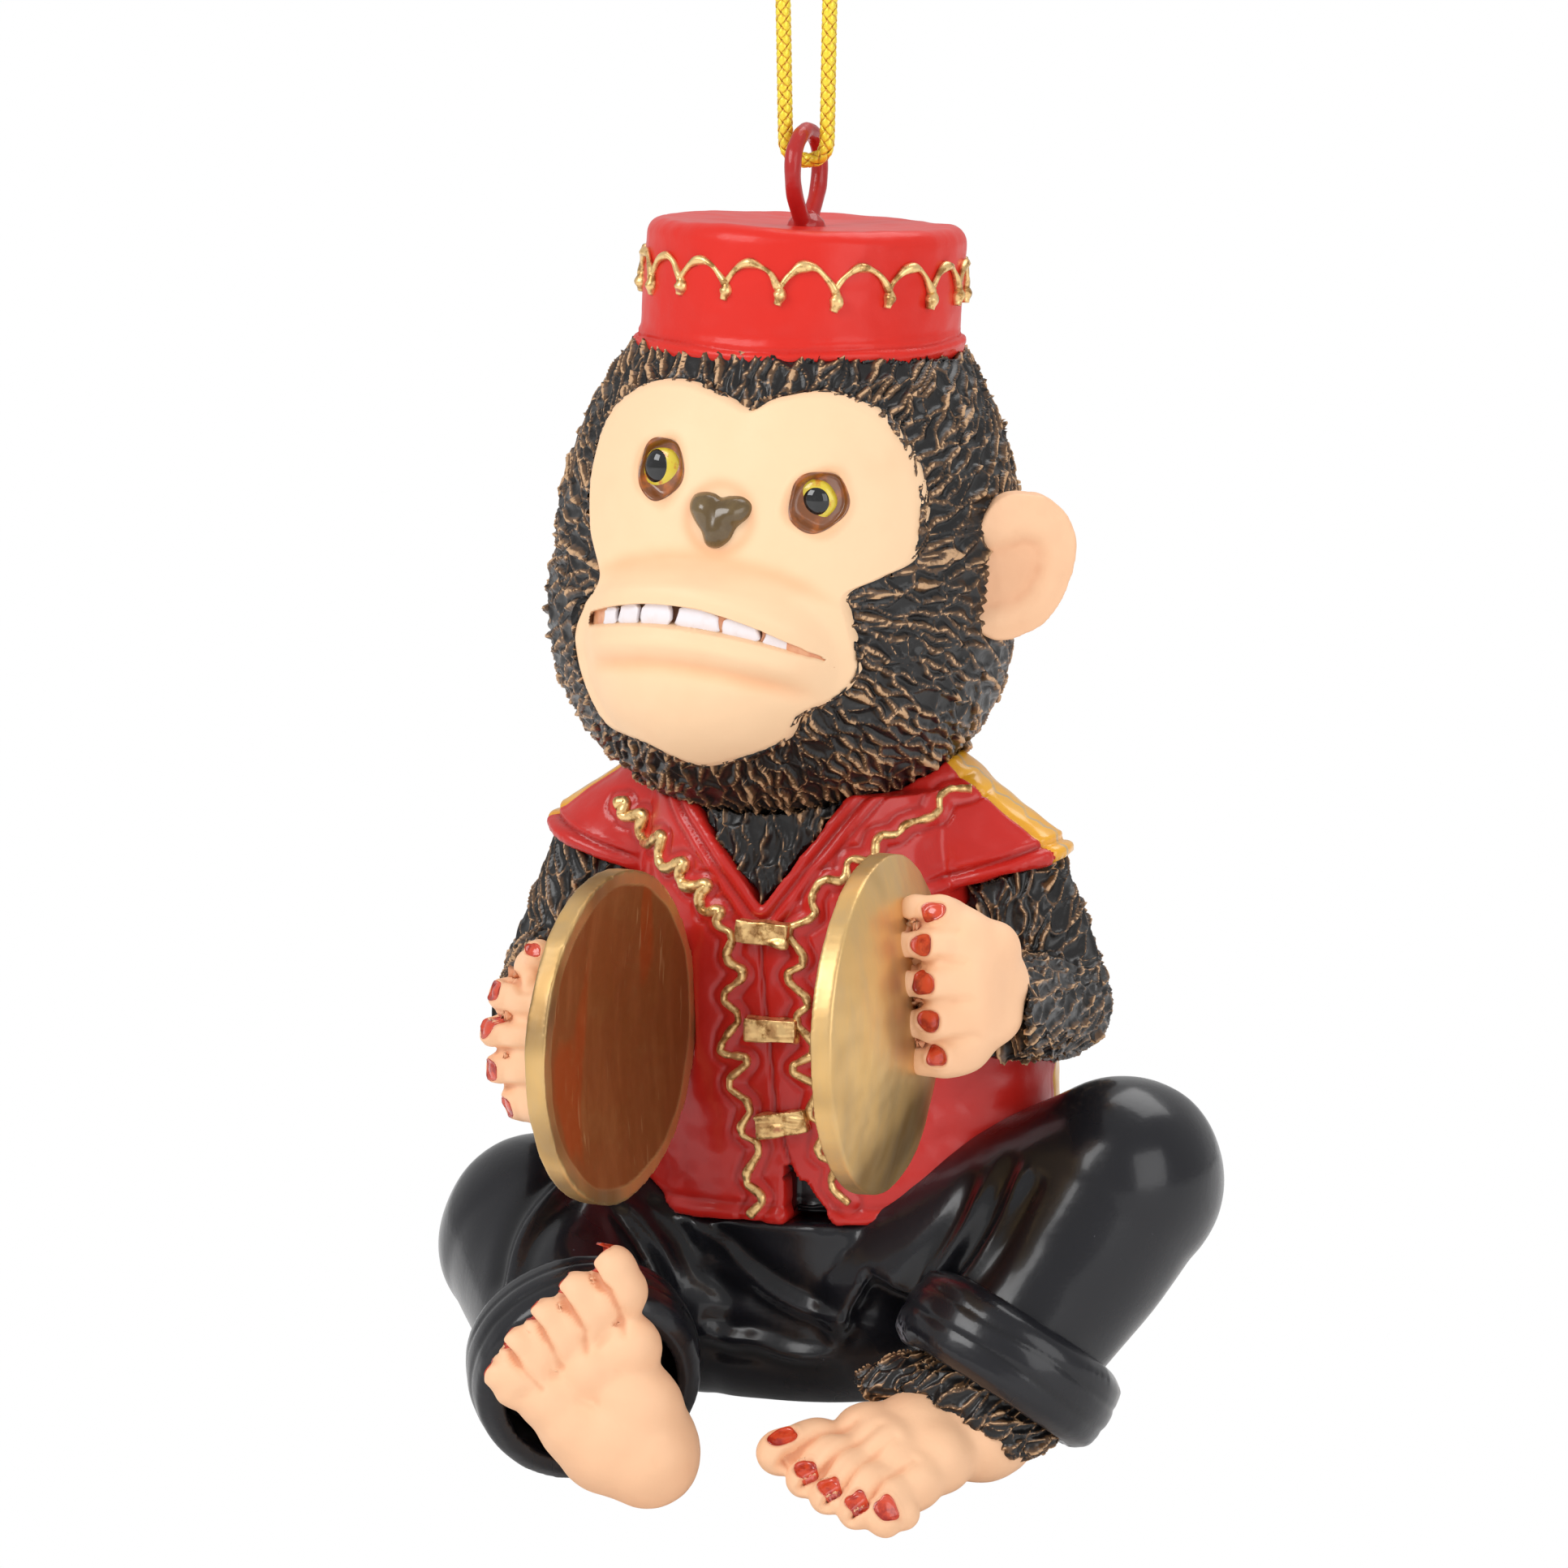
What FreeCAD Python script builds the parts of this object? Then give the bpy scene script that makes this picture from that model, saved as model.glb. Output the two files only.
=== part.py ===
import FreeCAD, Part
import math
import os

from FreeCAD import Placement, Rotation, Vector

# A cast resin hanging figure: a seated monkey with a pillbox hat and two cymbals, on a loop of cord.
# Millimetres. +Z up, the figure faces -Y, its own left hand is towards +X.
# The origin is the top of the cord loop, where it hangs. The figure's heights are given above its
# lowest toe and lifted to their place below the loop by at().

doc = FreeCAD.newDocument("CymbalMonkey")
sheet = doc.addObject("Spreadsheet::Sheet", "Sizes")

SIZES = [
    # alias, value, what it is
    ("loop_length", 60.0, "top of the cord loop to the middle of the eye's top wire"),
    ("cord_diameter", 1.2, "braided cord"),
    ("cord_clearance", 0.3, "running gap of the cord under the eye's wire"),
    ("knot_diameter", 4.0, "overhand knot that closes the loop"),
    ("eye_outside", 7.0, "outside diameter of the eye"),
    ("eye_wire", 1.5, "wire of the eye"),
    ("shank_length", 6.0, "threaded shank inside the hat"),
    ("seat_drop", 5.5, "lowest toe to the underside of the seat"),
    ("seat_height", 15.0, "underside of the seat to the hem of the vest"),
    ("vest_height", 33.0, "hem to collar"),
    ("head_height", 35.6, "chin to crown, measured on the head's own axis"),
    ("head_sink", 2.6, "how far the beard hangs below the collar"),
    ("head_width", 35.2, "across the cheeks"),
    ("head_tilt", 6.0, "degrees, crown towards the figure's left"),
    ("hat_diameter", 24.4, "across the straight side"),
    ("hat_height", 10.3, "underside to top edge"),
    ("hat_tilt", 2.5, "degrees, towards the figure's left"),
    ("hat_lean", 3.6, "degrees, backwards"),
    ("hat_edge", 1.3, "rounding of the top edge"),
    ("brim_roll", 0.45, "how far the rolled band stands out"),
    ("brim_height", 2.2, "height of the rolled band"),
    ("hat_dish", 0.5, "sag of the top"),
    ("scallop_count", 18.0, "scallops round the hat"),
    ("scallop_wire", 0.5, "width of the gold line"),
    ("trim_proud", 0.3, "how far gold trim stands out"),
    ("scallop_rise", 1.7, "height of an arch"),
    ("scallop_level", 5.9, "feet of the scallops above the hat's underside"),
    ("scallop_drop", 1.5, "length of the drop at each foot"),
    ("face_skin", 0.7, "how far the face stands out of the fur"),
    ("front_round", 25.0, "half height of the round the face follows from brow to chin"),
    ("muzzle_radius", 11.6, "round of the muzzle"),
    ("muzzle_reach", 3.6, "muzzle in front of the cheeks"),
    ("socket_diameter", 4.6, "eye socket"),
    ("socket_depth", 0.9, "eye socket below the face"),
    ("iris_diameter", 3.2, "iris"),
    ("pupil_diameter", 2.1, "pupil"),
    ("eye_spacing", 12.35, "between the eyes' centres"),
    ("eye_middle", 1.35, "middle between the eyes, towards the figure's left"),
    ("eye_level", 9.55, "eyes above the head's centre"),
    ("eye_slope", 3.3, "degrees, left eye lower"),
    ("iris_height", 0.45, "iris above the bottom of the socket"),
    ("pupil_height", 0.35, "pupil above the iris"),
    ("nose_width", 4.6, "heart-shaped nose"),
    ("nose_height", 3.6, "heart-shaped nose"),
    ("nose_level", 7.6, "nose above the head's centre"),
    ("nose_proud", 1.1, "nose in front of the face"),
    ("mouth_depth", 2.0, "gap behind the lips"),
    ("upper_lip", 0.7, "highest point of the mouth's slot above the head's centre"),
    ("lower_lip", -1.05, "lower edge of the slot there"),
    ("gum_thickness", 0.6, "strip of gum at the back of the slot"),
    ("tooth_thickness", 1.1, "front to back of a tooth"),
    ("ear_height", 11.3, "ear"),
    ("ear_width", 9.2, "ear"),
    ("ear_thickness", 2.4, "ear"),
    ("left_ear_turn", 33.0, "degrees the ear's face is turned outwards"),
    ("right_ear_turn", 62.0, "degrees the ear's face is turned outwards"),
    ("ear_level", 2.8, "middle of the ears above the head's centre"),
    ("ear_edge", 0.9, "rounding of the ear's edges"),
    ("neck_radius", 8.6, "fur of the neck"),
    ("torso_width", 27.0, "across the vest at the waist"),
    ("torso_depth", 21.6, "front to back of the vest"),
    ("collar_radius", 9.5, "vest at the neck"),
    ("shoulder_span", 33.0, "between the shoulder centres"),
    ("shoulder_radius", 5.3, "cap sleeve"),
    ("sleeve_hem", 0.9, "edge of the cap sleeve above the middle of the shoulder"),
    ("sleeve_slope", 18.0, "degrees, how far the cap sleeve's edge rises outwards"),
    ("vest_seam", 0.5, "red front meets yellow back this far behind the middle at the hem"),
    ("seam_lean", 2.3, "degrees, how that seam comes forward towards the shoulder"),
    ("vee_depth", 8.5, "neck opening of the vest"),
    ("vee_width", 15.0, "neck opening of the vest at the collar"),
    ("fur_inset", 0.5, "fur lies below the vest and trousers"),
    ("slit_width", 4.2, "slit at the hem, at its open end"),
    ("slit_top", 1.9, "slit at the hem, at its upper end"),
    ("slit_height", 3.5, "slit at the hem"),
    ("braid_width", 0.5, "gold line down each front edge of the vest"),
    ("braid_proud", 0.25, "how far that line stands out"),
    ("toggle_length", 4.1, "gold toggle"),
    ("toggle_width", 1.7, "gold toggle"),
    ("toggle_thickness", 1.1, "gold toggle"),
    ("toggle_pitch", 7.6, "between toggles"),
    ("arm_radius", 4.6, "upper arm"),
    ("wrist_radius", 3.6, "wrist"),
    ("elbow_drop", 9.2, "shoulder to elbow, downwards"),
    ("elbow_span", 40.0, "between the elbows"),
    ("hand_height", 14.2, "fist over the five fingers"),
    ("finger_length", 3.9, "finger in front of the palm"),
    ("finger_fill", 0.57, "radius of a finger as a share of the fingers' pitch"),
    ("palm_radius", 3.0, "back of the hand"),
    ("nail_width", 1.5, "fingernail"),
    ("nail_thickness", 0.35, "nails"),
    ("cymbal_diameter", 25.4, "cymbal"),
    ("cymbal_rim", 1.6, "thickness of the rim"),
    ("cymbal_dome", 2.4, "how far the outside is domed"),
    ("cymbal_hollow", 0.9, "how far the inside is hollowed"),
    ("cymbal_border", 1.0, "gold border round the hollow"),
    ("cymbal_gap", 19.6, "between the two rims"),
    ("cymbal_forward", 22.8, "cymbals in front of the body's middle"),
    ("cymbal_middle", 3.3, "middle between the cymbals, towards the figure's left"),
    ("seat_width", 28.0, "across the trousers"),
    ("seat_depth", 22.0, "front to back of the trousers"),
    ("thigh_radius", 8.4, "thigh at the hip"),
    ("knee_radius", 8.0, "knee"),
    ("shin_radius", 6.6, "shin inside the cuff"),
    ("cuff_radius", 8.3, "turned-up cuff"),
    ("cuff_width", 6.2, "turned-up cuff"),
    ("ankle_radius", 4.6, "fur of the ankle"),
    ("foot_length", 20.5, "heel to big toe"),
    ("foot_width", 11.6, "across the ball"),
    ("foot_thickness", 4.6, "foot at the ball"),
    ("toe_length", 4.6, "toe in front of the ball"),
    ("toenail_width", 1.2, "toenail"),
]
for row, (alias, value, note) in enumerate(SIZES, start=1):
    sheet.set(f"A{row}", note)
    sheet.set(f"B{row}", str(value))
    sheet.setAlias(f"B{row}", alias)
doc.recompute()


def size(alias):
    """A driving dimension, read back from the sheet."""
    return float(sheet.get(alias))


# Levels above the lowest toe
hem_level = size("seat_drop") + size("seat_height")
collar_level = hem_level + size("vest_height")
head_level = collar_level - size("head_sink") + size("head_height") / 2
crown_level = head_level + size("head_height") / 2
hat_level = crown_level - 0.2
hat_top_level = hat_level + size("hat_height") - size("hat_dish")
eye_radius = (size("eye_outside") - size("eye_wire")) / 2
eye_level = hat_top_level + size("eye_outside") / 2
wire_level = eye_level + eye_radius
sole_level = -size("loop_length") - wire_level


def at(x, y, z):
    """A point of the figure: z is above the lowest toe, the result is below the cord loop."""
    return Vector(x, y, z + sole_level)


def bind(obj, **aliases):
    """Tie an object's properties to cells or to expressions of cells."""
    for prop, expression in aliases.items():
        obj.setExpression(prop, expression)
    return obj


def feature(name, shape, place=None):
    """A helper solid whose shape is worked out in code, in the frame that place gives."""
    obj = doc.addObject("Part::Feature", name)
    obj.Shape = shape
    if place:
        obj.Placement = place.multiply(obj.Placement)
    return obj


def cut(name, base, *tools):
    """What is left of base when all the tools are taken away."""
    if len(tools) == 1:
        tool = tools[0]
    else:
        tool = doc.addObject("Part::MultiFuse", name + "_tools")
        tool.Shapes = list(tools)
    obj = doc.addObject("Part::Cut", name)
    obj.Base = base
    obj.Tool = tool
    return obj


def common(name, *shapes):
    obj = doc.addObject("Part::MultiCommon", name)
    obj.Shapes = list(shapes)
    return obj


def fuse(name, *shapes):
    obj = doc.addObject("Part::MultiFuse", name)
    obj.Shapes = list(shapes)
    return obj


parts = {}


def sub_part(label, obj):
    """Name a finished piece. Its label is also the name of its file."""
    obj.Label = label
    parts[label] = obj
    return obj


def turned(profile, base=Vector(), axis=Vector(0, 0, 1), angle=360):
    """A solid of revolution of a closed profile of edges, as a lathe would turn it."""
    return Part.Face(Part.Wire(profile)).revolve(base, axis, angle)


def segments(*points):
    """Straight edges through the points."""
    return [Part.makeLine(a, b) for a, b in zip(points, points[1:])]


def arc(start, middle, end):
    return Part.Arc(start, middle, end).toShape()


def aim(direction, spin=0.0):
    """A rotation that takes Z to a direction, after a spin about Z."""
    return Rotation(Vector(0, 0, 1), direction).multiply(Rotation(Vector(0, 0, 1), spin))


def capsule(start, end, first, last):
    """A limb between two points: two balls with radii first and last, and the cone that touches both."""
    run = end - start
    length = run.Length
    lean = (first - last) / length
    rise = math.sqrt(1 - lean * lean)
    a = Vector(first * rise, 0, first * lean)
    b = Vector(last * rise, 0, length + last * lean)
    half = math.asin(lean)
    low = Vector(first * math.cos((half - math.pi / 2) / 2), 0, first * math.sin((half - math.pi / 2) / 2))
    high_angle = (half + math.pi / 2) / 2
    high = Vector(last * math.cos(high_angle), 0, length + last * math.sin(high_angle))
    bottom = Vector(0, 0, -first)
    top = Vector(0, 0, length + last)
    profile = [arc(bottom, low, a), Part.makeLine(a, b), arc(b, high, top), Part.makeLine(top, bottom)]
    shape = turned(profile)
    shape.Placement = Placement(start, aim(run))
    return shape


BEND_SHARE = 0.98


def limb(*balls):
    """Capsules end to end through (point, radius) pairs, as one solid. At a bend the second round is a
    little smaller than the first, so that the two surfaces cross and never coincide."""
    pieces = []
    for index, ((p, r), (q, s)) in enumerate(zip(balls, balls[1:])):
        pieces.append(capsule(p, q, r * BEND_SHARE if index else r, s))
    if len(pieces) == 1:
        return pieces[0]
    return pieces[0].multiFuse(pieces[1:]).removeSplitter()


def stadium(profile, core, centre):
    """A turned form drawn out sideways by core: two half turns and the block between them."""
    face = Part.Face(Part.Wire(profile))
    right = face.copy()
    right.translate(Vector(core / 2, 0, 0))
    right = right.revolve(Vector(core / 2, 0, 0), Vector(0, 0, 1), 360)
    left = face.copy()
    left.translate(Vector(-core / 2, 0, 0))
    left = left.revolve(Vector(-core / 2, 0, 0), Vector(0, 0, 1), 360)
    front = face.copy()
    front.rotate(Vector(), Vector(0, 0, 1), -90)
    back = face.copy()
    back.rotate(Vector(), Vector(0, 0, 1), 90)
    blocks = []
    for side in (front, back):
        side.translate(Vector(-core / 2, 0, 0))
        blocks.append(side.extrude(Vector(core, 0, 0)))
    shape = right.multiFuse([left] + blocks).removeSplitter()
    shape.translate(centre)
    return shape


# ---------------------------------------------------------------- screw eye and hat
def make_hat():
    """The pillbox hat as a turned body: rolled band, straight side, rounded edge, dished top, bore."""
    body = doc.addObject("PartDesign::Body", "HatBody")
    plane = next(f for f in body.Origin.OriginFeatures if f.Role == "XZ_Plane")
    sketch = body.newObject("Sketcher::SketchObject", "HatProfile")
    sketch.AttachmentSupport = [(plane, "")]
    sketch.MapMode = "FlatFace"
    radius = size("hat_diameter") / 2
    top = size("hat_height")
    edge = size("hat_edge")
    bore = size("eye_wire") / 2
    roll = size("brim_roll")
    band = size("brim_height")
    floor_of_bore = top - size("hat_dish") - size("shank_length")
    points = [
        Vector(0, 0, 0),
        Vector(radius, 0, 0),
        Vector(radius, band, 0),
        Vector(radius, top - edge, 0),
        Vector(radius - edge, top, 0),
        Vector(bore, top - size("hat_dish"), 0),
        Vector(bore, floor_of_bore, 0),
        Vector(0, floor_of_bore, 0),
    ]
    mid_edge = Vector(radius - edge * (1 - math.cos(math.pi / 4)), top - edge * (1 - math.sin(math.pi / 4)), 0)
    sketch.addGeometry(Part.LineSegment(points[0], points[1]), False)
    sketch.addGeometry(Part.Arc(points[1], Vector(radius + roll, band / 2, 0), points[2]), False)
    sketch.addGeometry(Part.LineSegment(points[2], points[3]), False)
    sketch.addGeometry(Part.Arc(points[3], mid_edge, points[4]), False)
    for a, b in zip(points[4:], points[5:] + points[:1]):
        sketch.addGeometry(Part.LineSegment(a, b), False)
    turn = body.newObject("PartDesign::Revolution", "HatTurn")
    turn.Profile = sketch
    turn.ReferenceAxis = (sketch, ["V_Axis"])
    turn.Angle = 360
    body.Tip = turn
    body.Placement = hat_place
    return body


hat_turn = Rotation(Vector(0, 1, 0), size("hat_tilt")).multiply(Rotation(Vector(1, 0, 0), -size("hat_lean")))
hat_place = Placement(at(0, 0, hat_level), hat_turn)
hat_place.Base -= hat_place.Rotation.multVec(Vector(0, 0, size("hat_height") - size("hat_dish"))) - Vector(
    0, 0, size("hat_height") - size("hat_dish")
)
hat = sub_part("hat", make_hat())

ring = doc.addObject("Part::Torus", "EyeRing")
bind(ring, Radius1="(Sizes.eye_outside - Sizes.eye_wire) / 2", Radius2="Sizes.eye_wire / 2")
ring.Placement = Placement(at(0, 0, eye_level), Rotation(Vector(0, 1, 0), 90))
shank = doc.addObject("Part::Cylinder", "EyeShank")
bind(shank, Radius="Sizes.eye_wire / 2", Height="Sizes.shank_length + Sizes.eye_wire / 2")
shank.Placement = Placement(
    at(0, 0, hat_top_level) - hat_place.Rotation.multVec(Vector(0, 0, size("shank_length"))), hat_place.Rotation
)
eye_form = fuse("EyeForm", ring, shank)
screw_eye = sub_part("screw_eye", cut("ScrewEye", eye_form, hat))


def make_scallops():
    """Gold arches round the hat with a drop at each foot, cut from a thin ring that lies on its side."""
    count = int(round(size("scallop_count")))
    radius = size("hat_diameter") / 2
    outside = radius + size("trim_proud")
    pitch = 2 * math.pi * radius / count
    rise = size("scallop_rise")
    bow = (rise * rise + pitch * pitch / 4) / (2 * rise)
    wire = size("scallop_wire")
    level = size("scallop_level")
    shell = Part.makeCylinder(outside, rise + size("scallop_drop") + wire, Vector(0, 0, level - size("scallop_drop")))
    shell = shell.cut(Part.makeCylinder(radius, size("hat_height"), Vector()))
    arches = []
    for index in range(count):
        start = Vector(0, -radius * 0.8, level + rise - bow)
        reach = radius * 0.4
        outer = Part.makeCylinder(bow + wire / 2, reach, start, Vector(0, -1, 0))
        inner = Part.makeCylinder(bow - wire / 2, reach, start, Vector(0, -1, 0))
        upper = Part.makeBox(2 * pitch, reach, pitch, Vector(-pitch, -radius * 0.8 - reach, level))
        arch = outer.cut(inner).common(upper)
        drop = Part.makeBox(
            wire,
            reach,
            size("scallop_drop") + wire / 2,
            Vector((pitch - wire) / 2, -radius * 0.8 - reach, level - size("scallop_drop")),
        )
        for piece in (arch, drop):
            piece.rotate(Vector(), Vector(0, 0, 1), 360.0 * index / count)
            arches.append(piece)
    return arches[0].multiFuse(arches[1:]).common(shell)


hat_braid = sub_part("hat_braid", feature("HatBraid", make_scallops(), hat_place))


# ---------------------------------------------------------------- head
head_place = Placement(at(0, 0, head_level), Rotation(Vector(0, 1, 0), size("head_tilt")))
head_place.Base += Vector(-1.4, -1.0, 0)


def head_profile(grow=0.0):
    """Half outline of the head: cheeks widest just below the middle, flat crown and throat."""
    half = size("head_width") / 2 + grow
    top = size("head_height") / 2 + 1.5
    crown = size("hat_diameter") / 2 - 0.6 + grow
    throat = size("neck_radius") - 2.5
    chin = -size("head_height") / 2
    widest = Vector(half, 0, 0.5)
    return [
        Part.makeLine(Vector(0, 0, chin - grow), Vector(throat, 0, chin - grow)),
        arc(Vector(throat, 0, chin - grow), Vector(half * 0.865, 0, -11.2 - grow / 2), widest),
        arc(widest, Vector(half * 0.905, 0, 11.8 + grow / 2), Vector(crown, 0, top)),
        Part.makeLine(Vector(crown, 0, top), Vector(0, 0, top)),
        Part.makeLine(Vector(0, 0, top), Vector(0, 0, chin - grow)),
    ]


head_form = feature("HeadForm", turned(head_profile()), head_place)


FACE_OUTLINE = [
    # (towards the figure's left, up) in the head's frame: notch, left brow, left cheek, pinch, jaw,
    # chin, and back up the figure's right side
    (1.0, 15.2), (3.2, 16.3), (6.4, 16.9), (9.9, 15.7), (12.5, 12.8), (13.9, 9.4), (14.0, 5.4),
    (12.2, 3.8), (10.3, 2.4), (10.8, -0.1), (11.5, -3.2), (10.4, -5.3), (8.0, -7.0), (6.8, -9.2),
    (3.4, -11.1), (0.4, -12.0), (-3.8, -11.0), (-7.8, -10.7), (-10.2, -8.2), (-11.5, -4.6),
    (-10.6, -1.8), (-9.2, 0.9), (-10.8, 4.4), (-11.7, 8.8), (-11.0, 12.8), (-8.2, 15.4),
    (-4.6, 16.3), (-1.2, 15.8),
]


def face_outline():
    """Outline of the face seen from in front: two brow lobes, cheeks, a pinch, the jaw and the chin."""
    curve = Part.BSplineCurve()
    curve.interpolate([Vector(x, 0, z) for x, z in FACE_OUTLINE], PeriodicFlag=True)
    return Part.Wire(curve.toShape())


def make_face():
    """The flesh-coloured plate of the face with its muzzle, on the front of the head."""
    reach = size("head_width")
    prism = Part.Face(face_outline()).extrude(Vector(0, -reach, 0))
    skin = turned(head_profile(size("face_skin")))
    radius = size("muzzle_radius")
    front = size("head_width") / 2 + size("muzzle_reach")
    muzzle = Part.makeSphere(radius, Vector(0, radius - front, -3.0))
    jaw = Part.makeBox(4 * radius, reach, 2 * radius, Vector(-2 * radius, -reach, -3.0 - radius - 0.5))
    return prism.common(skin.fuse(muzzle.common(jaw)))


face_form = feature("FaceForm", make_face(), head_place)


def on_head(x, y, z):
    """A point given in the head's own frame."""
    return head_place.multVec(Vector(x, y, z))


def head_depth(x, z, proud=0.0):
    """How far in front of the head's middle the cheek lies there, from the round of the head."""
    share = (z - 0.5) / size("front_round")
    half = size("head_width") / 2 * math.sqrt(1 - share * share) + size("face_skin") + proud
    return -math.sqrt(half * half - x * x)


eyes = []
sockets = {}
for side, sign in (("right", -1), ("left", 1)):
    slope = math.radians(size("eye_slope"))
    x = size("eye_middle") + sign * size("eye_spacing") / 2
    z = size("eye_level") - sign * size("eye_spacing") / 2 * math.tan(slope)
    y = head_depth(x, z)
    out = head_place.Rotation.multVec(Vector(x * 0.6, y, z * 0.25)).normalize()
    seat = on_head(x, y, z) - out * size("socket_depth")
    pocket = doc.addObject("Part::Cylinder", f"{side}Pocket")
    bind(pocket, Radius="Sizes.socket_diameter / 2")
    pocket.Height = 4
    pocket.Placement = Placement(seat - out * 0.6, aim(out))
    socket = doc.addObject("Part::Cylinder", f"{side}Socket")
    bind(socket, Radius="Sizes.socket_diameter / 2")
    socket.Height = 0.6
    socket.Placement = Placement(seat - out * 0.6, aim(out))
    sockets[side] = sub_part(f"{side}_eye_socket", socket)
    iris = doc.addObject("Part::Cone", f"{side}Iris")
    bind(iris, Radius1="Sizes.iris_diameter / 2", Radius2="Sizes.pupil_diameter / 2")
    bind(iris, Height="Sizes.iris_height")
    iris.Placement = Placement(seat, aim(out))
    sub_part(f"{side}_iris", iris)
    pupil = doc.addObject("Part::Cone", f"{side}Pupil")
    bind(pupil, Radius1="Sizes.pupil_diameter / 2", Radius2="Sizes.pupil_diameter / 4")
    bind(pupil, Height="Sizes.pupil_height")
    pupil.Placement = Placement(seat + out * size("iris_height"), aim(out))
    sub_part(f"{side}_pupil", pupil)
    eyes.append(pocket)


def make_nose():
    """A heart: two round lobes and a point below, standing out of the face."""
    half = size("nose_width") / 2
    tall = size("nose_height")
    lobe = half / 2
    tip = Vector(0, 0, -tall + lobe)
    edges = []
    for sign in (-1, 1):
        edges.append(arc(Vector(0, 0, 0.2), Vector(sign * lobe, 0, lobe + 0.2), Vector(sign * half, 0, 0)))
        edges.append(arc(Vector(sign * half, 0, 0), Vector(sign * lobe * 1.3, 0, -lobe * 1.1), tip))
    heart = Part.Face(Part.Wire(Part.__sortEdges__(edges)))
    z = size("nose_level")
    front = head_depth(0, z) - size("nose_proud")
    heart.translate(Vector(0.55, front, z))
    return heart.extrude(Vector(0, 3.0, 0))


nose_form = feature("NoseForm", make_nose(), head_place)
nose = sub_part("nose", cut("Nose", nose_form, face_form, head_form))


MOUTH_CORNERS = {"right": (-10.4, -2.5), "left": (10.2, -2.8)}
muzzle_front = size("head_width") / 2 + size("muzzle_reach")
muzzle_middle = Vector(0, size("muzzle_radius") - muzzle_front, 0)


def mouth_prism():
    """The mouth seen from in front, a long crescent that droops at both corners, as a prism."""
    right = Vector(MOUTH_CORNERS["right"][0], 0, MOUTH_CORNERS["right"][1])
    left = Vector(MOUTH_CORNERS["left"][0], 0, MOUTH_CORNERS["left"][1])
    drop = Vector(0, 0, -0.8)
    edges = [
        arc(right, Vector(-0.5, 0, size("upper_lip")), left),
        arc(left, Vector(0.5, 0, size("lower_lip")), right + drop),
        Part.makeLine(right + drop, right),
    ]
    return Part.Face(Part.Wire(edges)).extrude(Vector(0, -size("head_width"), 0))


def mouth_band(inside, outside):
    """The part of the mouth's prism between two depths below the round of the muzzle."""
    radius = size("muzzle_radius")
    tall = 10
    base = muzzle_middle - Vector(0, 0, tall / 2 + 1)
    outer = Part.makeCylinder(radius - outside, tall, base)
    inner = Part.makeCylinder(radius - inside, tall, base)
    return mouth_prism().common(outer.cut(inner))


slot = feature("MouthSlot", mouth_band(size("mouth_depth"), -3.0), head_place)
face = sub_part("face", cut("Face", face_form, head_form, slot, nose_form, *eyes))
gum_back = size("mouth_depth") - size("gum_thickness")
gum_form = feature("GumForm", mouth_band(size("mouth_depth"), gum_back), head_place)
gums = sub_part("gums", common("Gums", gum_form, cut("GumBed", face_form, head_form)))

# (middle, width) of the upper teeth, from the figure's right corner on
TEETH = [(-7.2, 1.4), (-5.2, 1.7), (-2.6, 2.5), (0.6, 2.8), (3.6, 2.2), (6.2, 1.9)]


def make_teeth():
    """Six upper teeth side by side in front of the gums, cut to the mouth's outline."""
    radius = size("muzzle_radius") - size("mouth_depth") + size("gum_thickness")
    tall = 6.0
    teeth = []
    for middle, width in TEETH:
        angle = math.asin(middle / (radius + size("tooth_thickness")))
        tooth = Part.makeBox(width, size("tooth_thickness"), tall, Vector(-width / 2, -size("tooth_thickness"), -tall))
        tooth = tooth.makeFillet(0.3, [tooth.Edges[0], tooth.Edges[4]])
        tooth.translate(Vector(0, -radius, tall / 2))
        tooth.rotate(Vector(), Vector(0, 0, 1), math.degrees(angle))
        tooth.translate(muzzle_middle)
        teeth.append(tooth)
    return Part.makeCompound(teeth).common(mouth_prism())


teeth_form = feature("TeethForm", make_teeth(), head_place)
teeth = sub_part("teeth", cut("Teeth", teeth_form, gum_form))


# middle of each ear in the head's own frame: towards the figure's left, behind the middle
EARS = {"right": (-18.8, 4.5), "left": (19.9, -1.9)}


def make_ear(side, sign):
    """A dished oval that stands out of the side of the head, its hollow facing forwards."""
    oval = Part.Ellipse(Vector(), size("ear_height") / 2, size("ear_width") / 2).toShape()
    oval.rotate(Vector(), Vector(0, 0, 1), 90)
    plate = Part.Face(Part.Wire([oval])).extrude(Vector(0, 0, size("ear_thickness")))
    plate = plate.makeFillet(size("ear_edge"), [plate.Edges[0], plate.Edges[2]])
    hollow = Part.makeSphere(size("ear_width"), Vector(0, 0, size("ear_thickness") + size("ear_width") * 0.82))
    shape = plate.cut(hollow)
    shape.rotate(Vector(), Vector(1, 0, 0), 90)
    shape.rotate(Vector(), Vector(0, 0, 1), sign * size(f"{side}_ear_turn"))
    shape.translate(Vector(*EARS[side], size("ear_level")))
    return shape


for side, sign in (("right", -1), ("left", 1)):
    ear_form = feature(f"{side}EarForm", make_ear(side, sign), head_place)
    sub_part(f"{side}_ear", cut(f"{side}Ear", ear_form, head_form))


# ---------------------------------------------------------------- torso
body_centre = Vector(0.8, -0.6, 0)
torso_core = size("torso_width") - size("torso_depth")


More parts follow.
